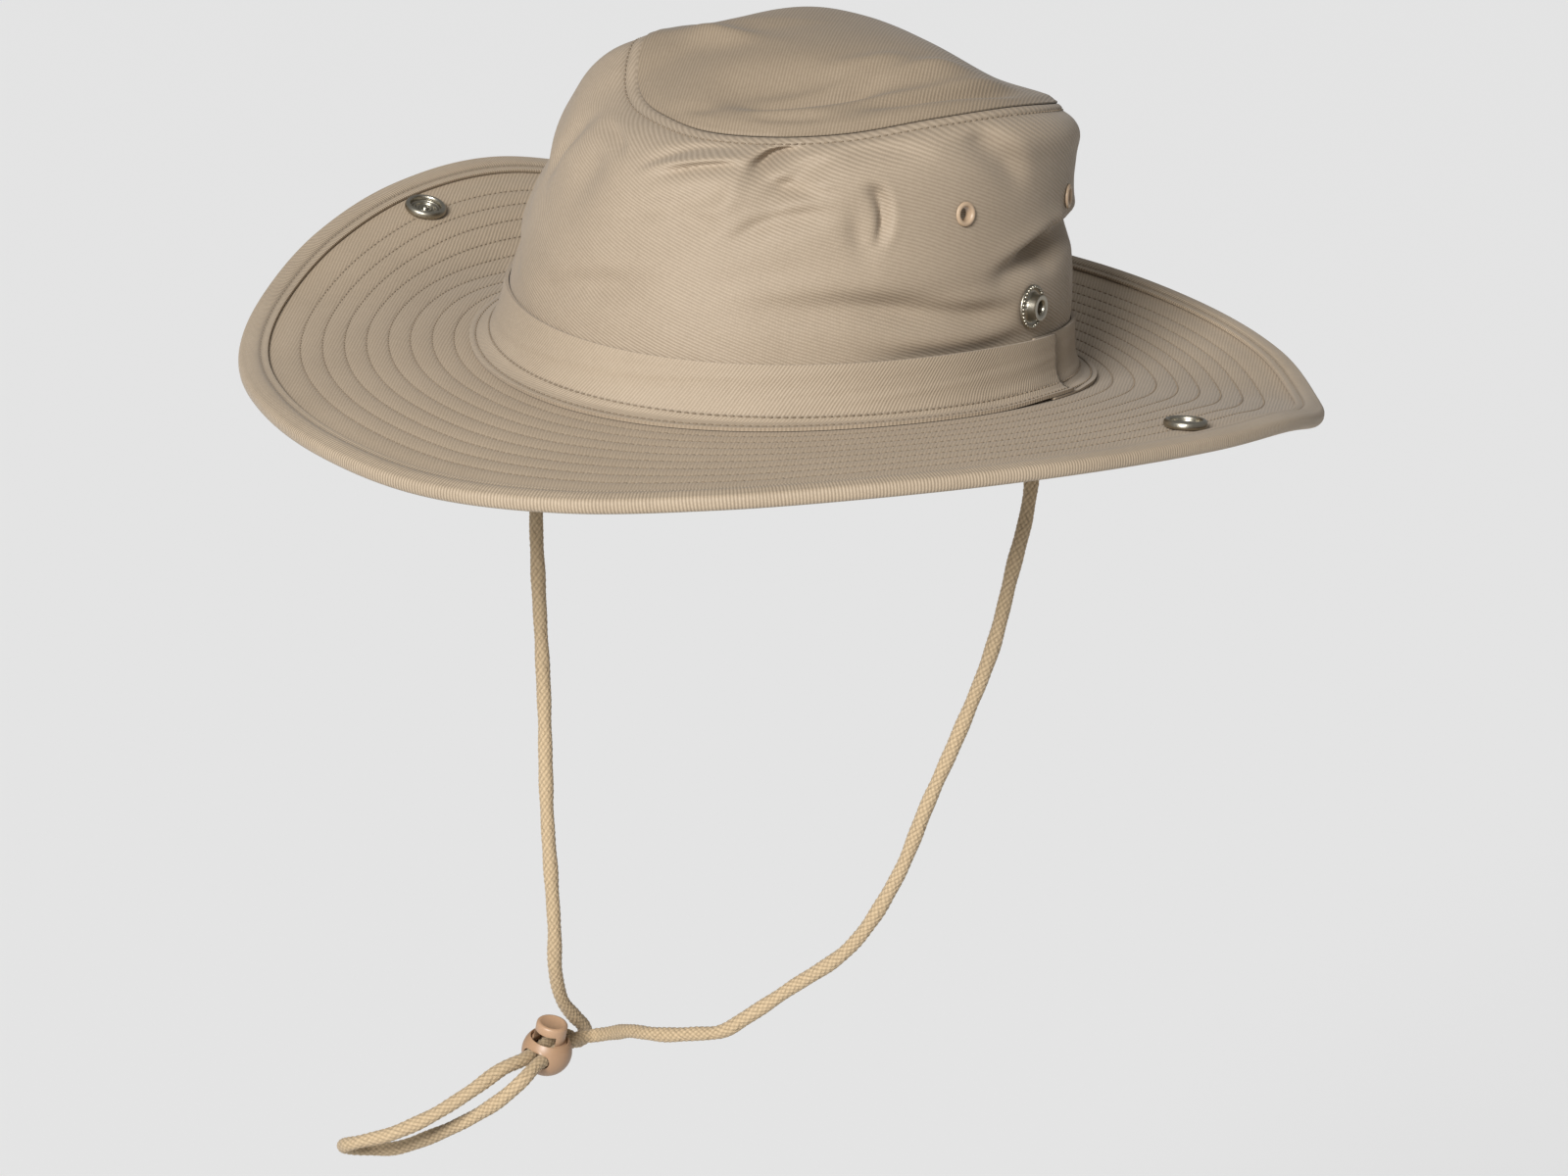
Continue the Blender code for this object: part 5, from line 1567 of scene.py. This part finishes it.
def make_barrel():
    radius = BALL_DIAMETER / 2
    lip = math.asin(BALL_LIP / radius)
    turns = np.linspace(-math.pi / 2, lip, 20)
    ball = [(1000 * radius * math.cos(t), 1000 * radius * math.sin(t)) for t in turns]
    wall, lip_up, floor = BORE_DIAMETER * 500, BALL_LIP * 1000, -BORE_FLOOR * 1000
    rim = [(wall + 0.15, lip_up + 0.05), (wall, lip_up - 0.2)]
    bore = [(wall, -3.6), (4.6, floor), (0, floor)]
    piece = turned("stopper_barrel_shell", ball + rim + bore, sides=56)
    cut_slot(piece, 0.0)
    return finish_piece(piece, beige_plastic, "stopper_plastic", "stopper_barrel")


def make_plunger():
    radius = BORE_DIAMETER * 500 - 0.3
    top, foot = PLUNGER_TOP * 1000, -PLUNGER_FOOT * 1000
    cap = radius - CAP_INSET * 1000
    profile = [(0, foot), (radius - 1.8, foot), (radius, foot + 2.4), (radius, 4.4), (cap, 5.0)]
    profile += [(cap, top - 1.2), (cap - 0.1, top - 0.6), (cap - 0.4, top - 0.2), (cap - 0.9, top)]
    profile += [(cap - 1.4, top - 0.1), (cap - 1.8, top - 0.35), (0, top - 0.4)]
    piece = turned("stopper_button", profile, sides=56)
    cut_away(piece, add_box(WINDOW_MIDDLE, WINDOW_SIZE))
    cut_slot(piece, PLUNGER_TRAVEL)
    return finish_piece(piece, button_plastic, "button_plastic", "stopper_plunger", body="plunger")


barrel = make_barrel()
plunger = make_plunger()

# %% [markdown]
# Each end of the cord is held in a folded tape tab on the inside of the crown. A small block is
# rounded, then bored from below for the cord.


# %% Tabs
def make_tab(node, angle):
    """A tab with its bore open below, its back to the crown."""
    axis, normal = tab_axis(angle)
    half = TAB_WALL + CORD_CLEARANCE + CORD_DIAMETER / 2
    piece = add_box(TAB_HEIGHT / 2, (2 * half, 2 * half, TAB_HEIGHT))
    piece.name = piece.data.name = node + "_tape"
    edit_all()
    bpy.ops.mesh.bevel(offset=half * 0.35, segments=4, affect="EDGES")
    bpy.ops.object.mode_set(mode="OBJECT")
    deselect()
    bpy.ops.mesh.primitive_cylinder_add(
        vertices=24, radius=half - TAB_WALL, depth=2 * (TAB_DEPTH + CORD_CLEARANCE)
    )
    cut_away(piece, bpy.context.object)
    bpy.ops.object.shade_smooth_by_angle(angle=math.radians(40))
    turn = Matrix.Rotation(math.atan2(normal.y, normal.x), 4, "Z")
    piece.data.transform(Matrix.Translation(axis) @ turn)
    return finish_piece(piece, tape_weave, "tab_tape", node)


make_tab("cord_tab_left", TAB_LEFT_ANGLE)
make_tab("cord_tab_right", TAB_RIGHT_ANGLE)

# %% [markdown]
# The place where the cord's right end comes out of its tab.

# %% Cord facts
tuple(in_tab(TAB_RIGHT_ANGLE, -TAB_WALL))

# %% [markdown]
# The backdrop is one wide pale floor, so far below the hat that its shadow falls outside the
# picture. One large soft light stands in front and above, and the world fills the shadows.

# %% Backdrop and lights
PALE = (0.88, 0.88, 0.88)
FLOOR_SIZE = 24.0
FLOOR_HEIGHT = -1.25
KEY_PLACE = (0.42, -1.56, 0.76)
KEY_POWER = 4.55
KEY_SPREAD = 20.0
FILL_POWER = 0.27


def make_backdrop():
    """A wide pale floor, seen the same from any side."""
    deselect()
    bpy.ops.mesh.primitive_grid_add(
        x_subdivisions=4, y_subdivisions=4, size=FLOOR_SIZE, location=(0, 0, FLOOR_HEIGHT)
    )
    floor = bpy.context.object
    floor.name = "backdrop"
    material, _, shader = new_finish("pale_sweep")
    set_inputs(shader, {"Base Color": (*PALE, 1.0), "Roughness": 0.95})
    floor.data.materials.append(material)


def add_sun(name, place, power, spread):
    """A soft light from a place's direction, spread over an angle in degrees."""
    light = bpy.data.lights.new(name, "SUN")
    light.energy = power
    light.angle = math.radians(spread)
    lamp = link_new(name, light)
    lamp.location = place
    lamp.rotation_euler = Vector(place).to_track_quat("Z", "Y").to_euler()


make_backdrop()
add_sun("key", KEY_PLACE, KEY_POWER, KEY_SPREAD)
world = bpy.data.worlds.new("studio")
bpy.context.scene.world = world
world.use_nodes = True
fill = world.node_tree.nodes["Background"]
set_inputs(fill, {"Color": (1, 1, 1, 1), "Strength": FILL_POWER})
bpy.context.scene.view_settings.view_transform = "Standard"
print("lights:", len(bpy.data.lights))
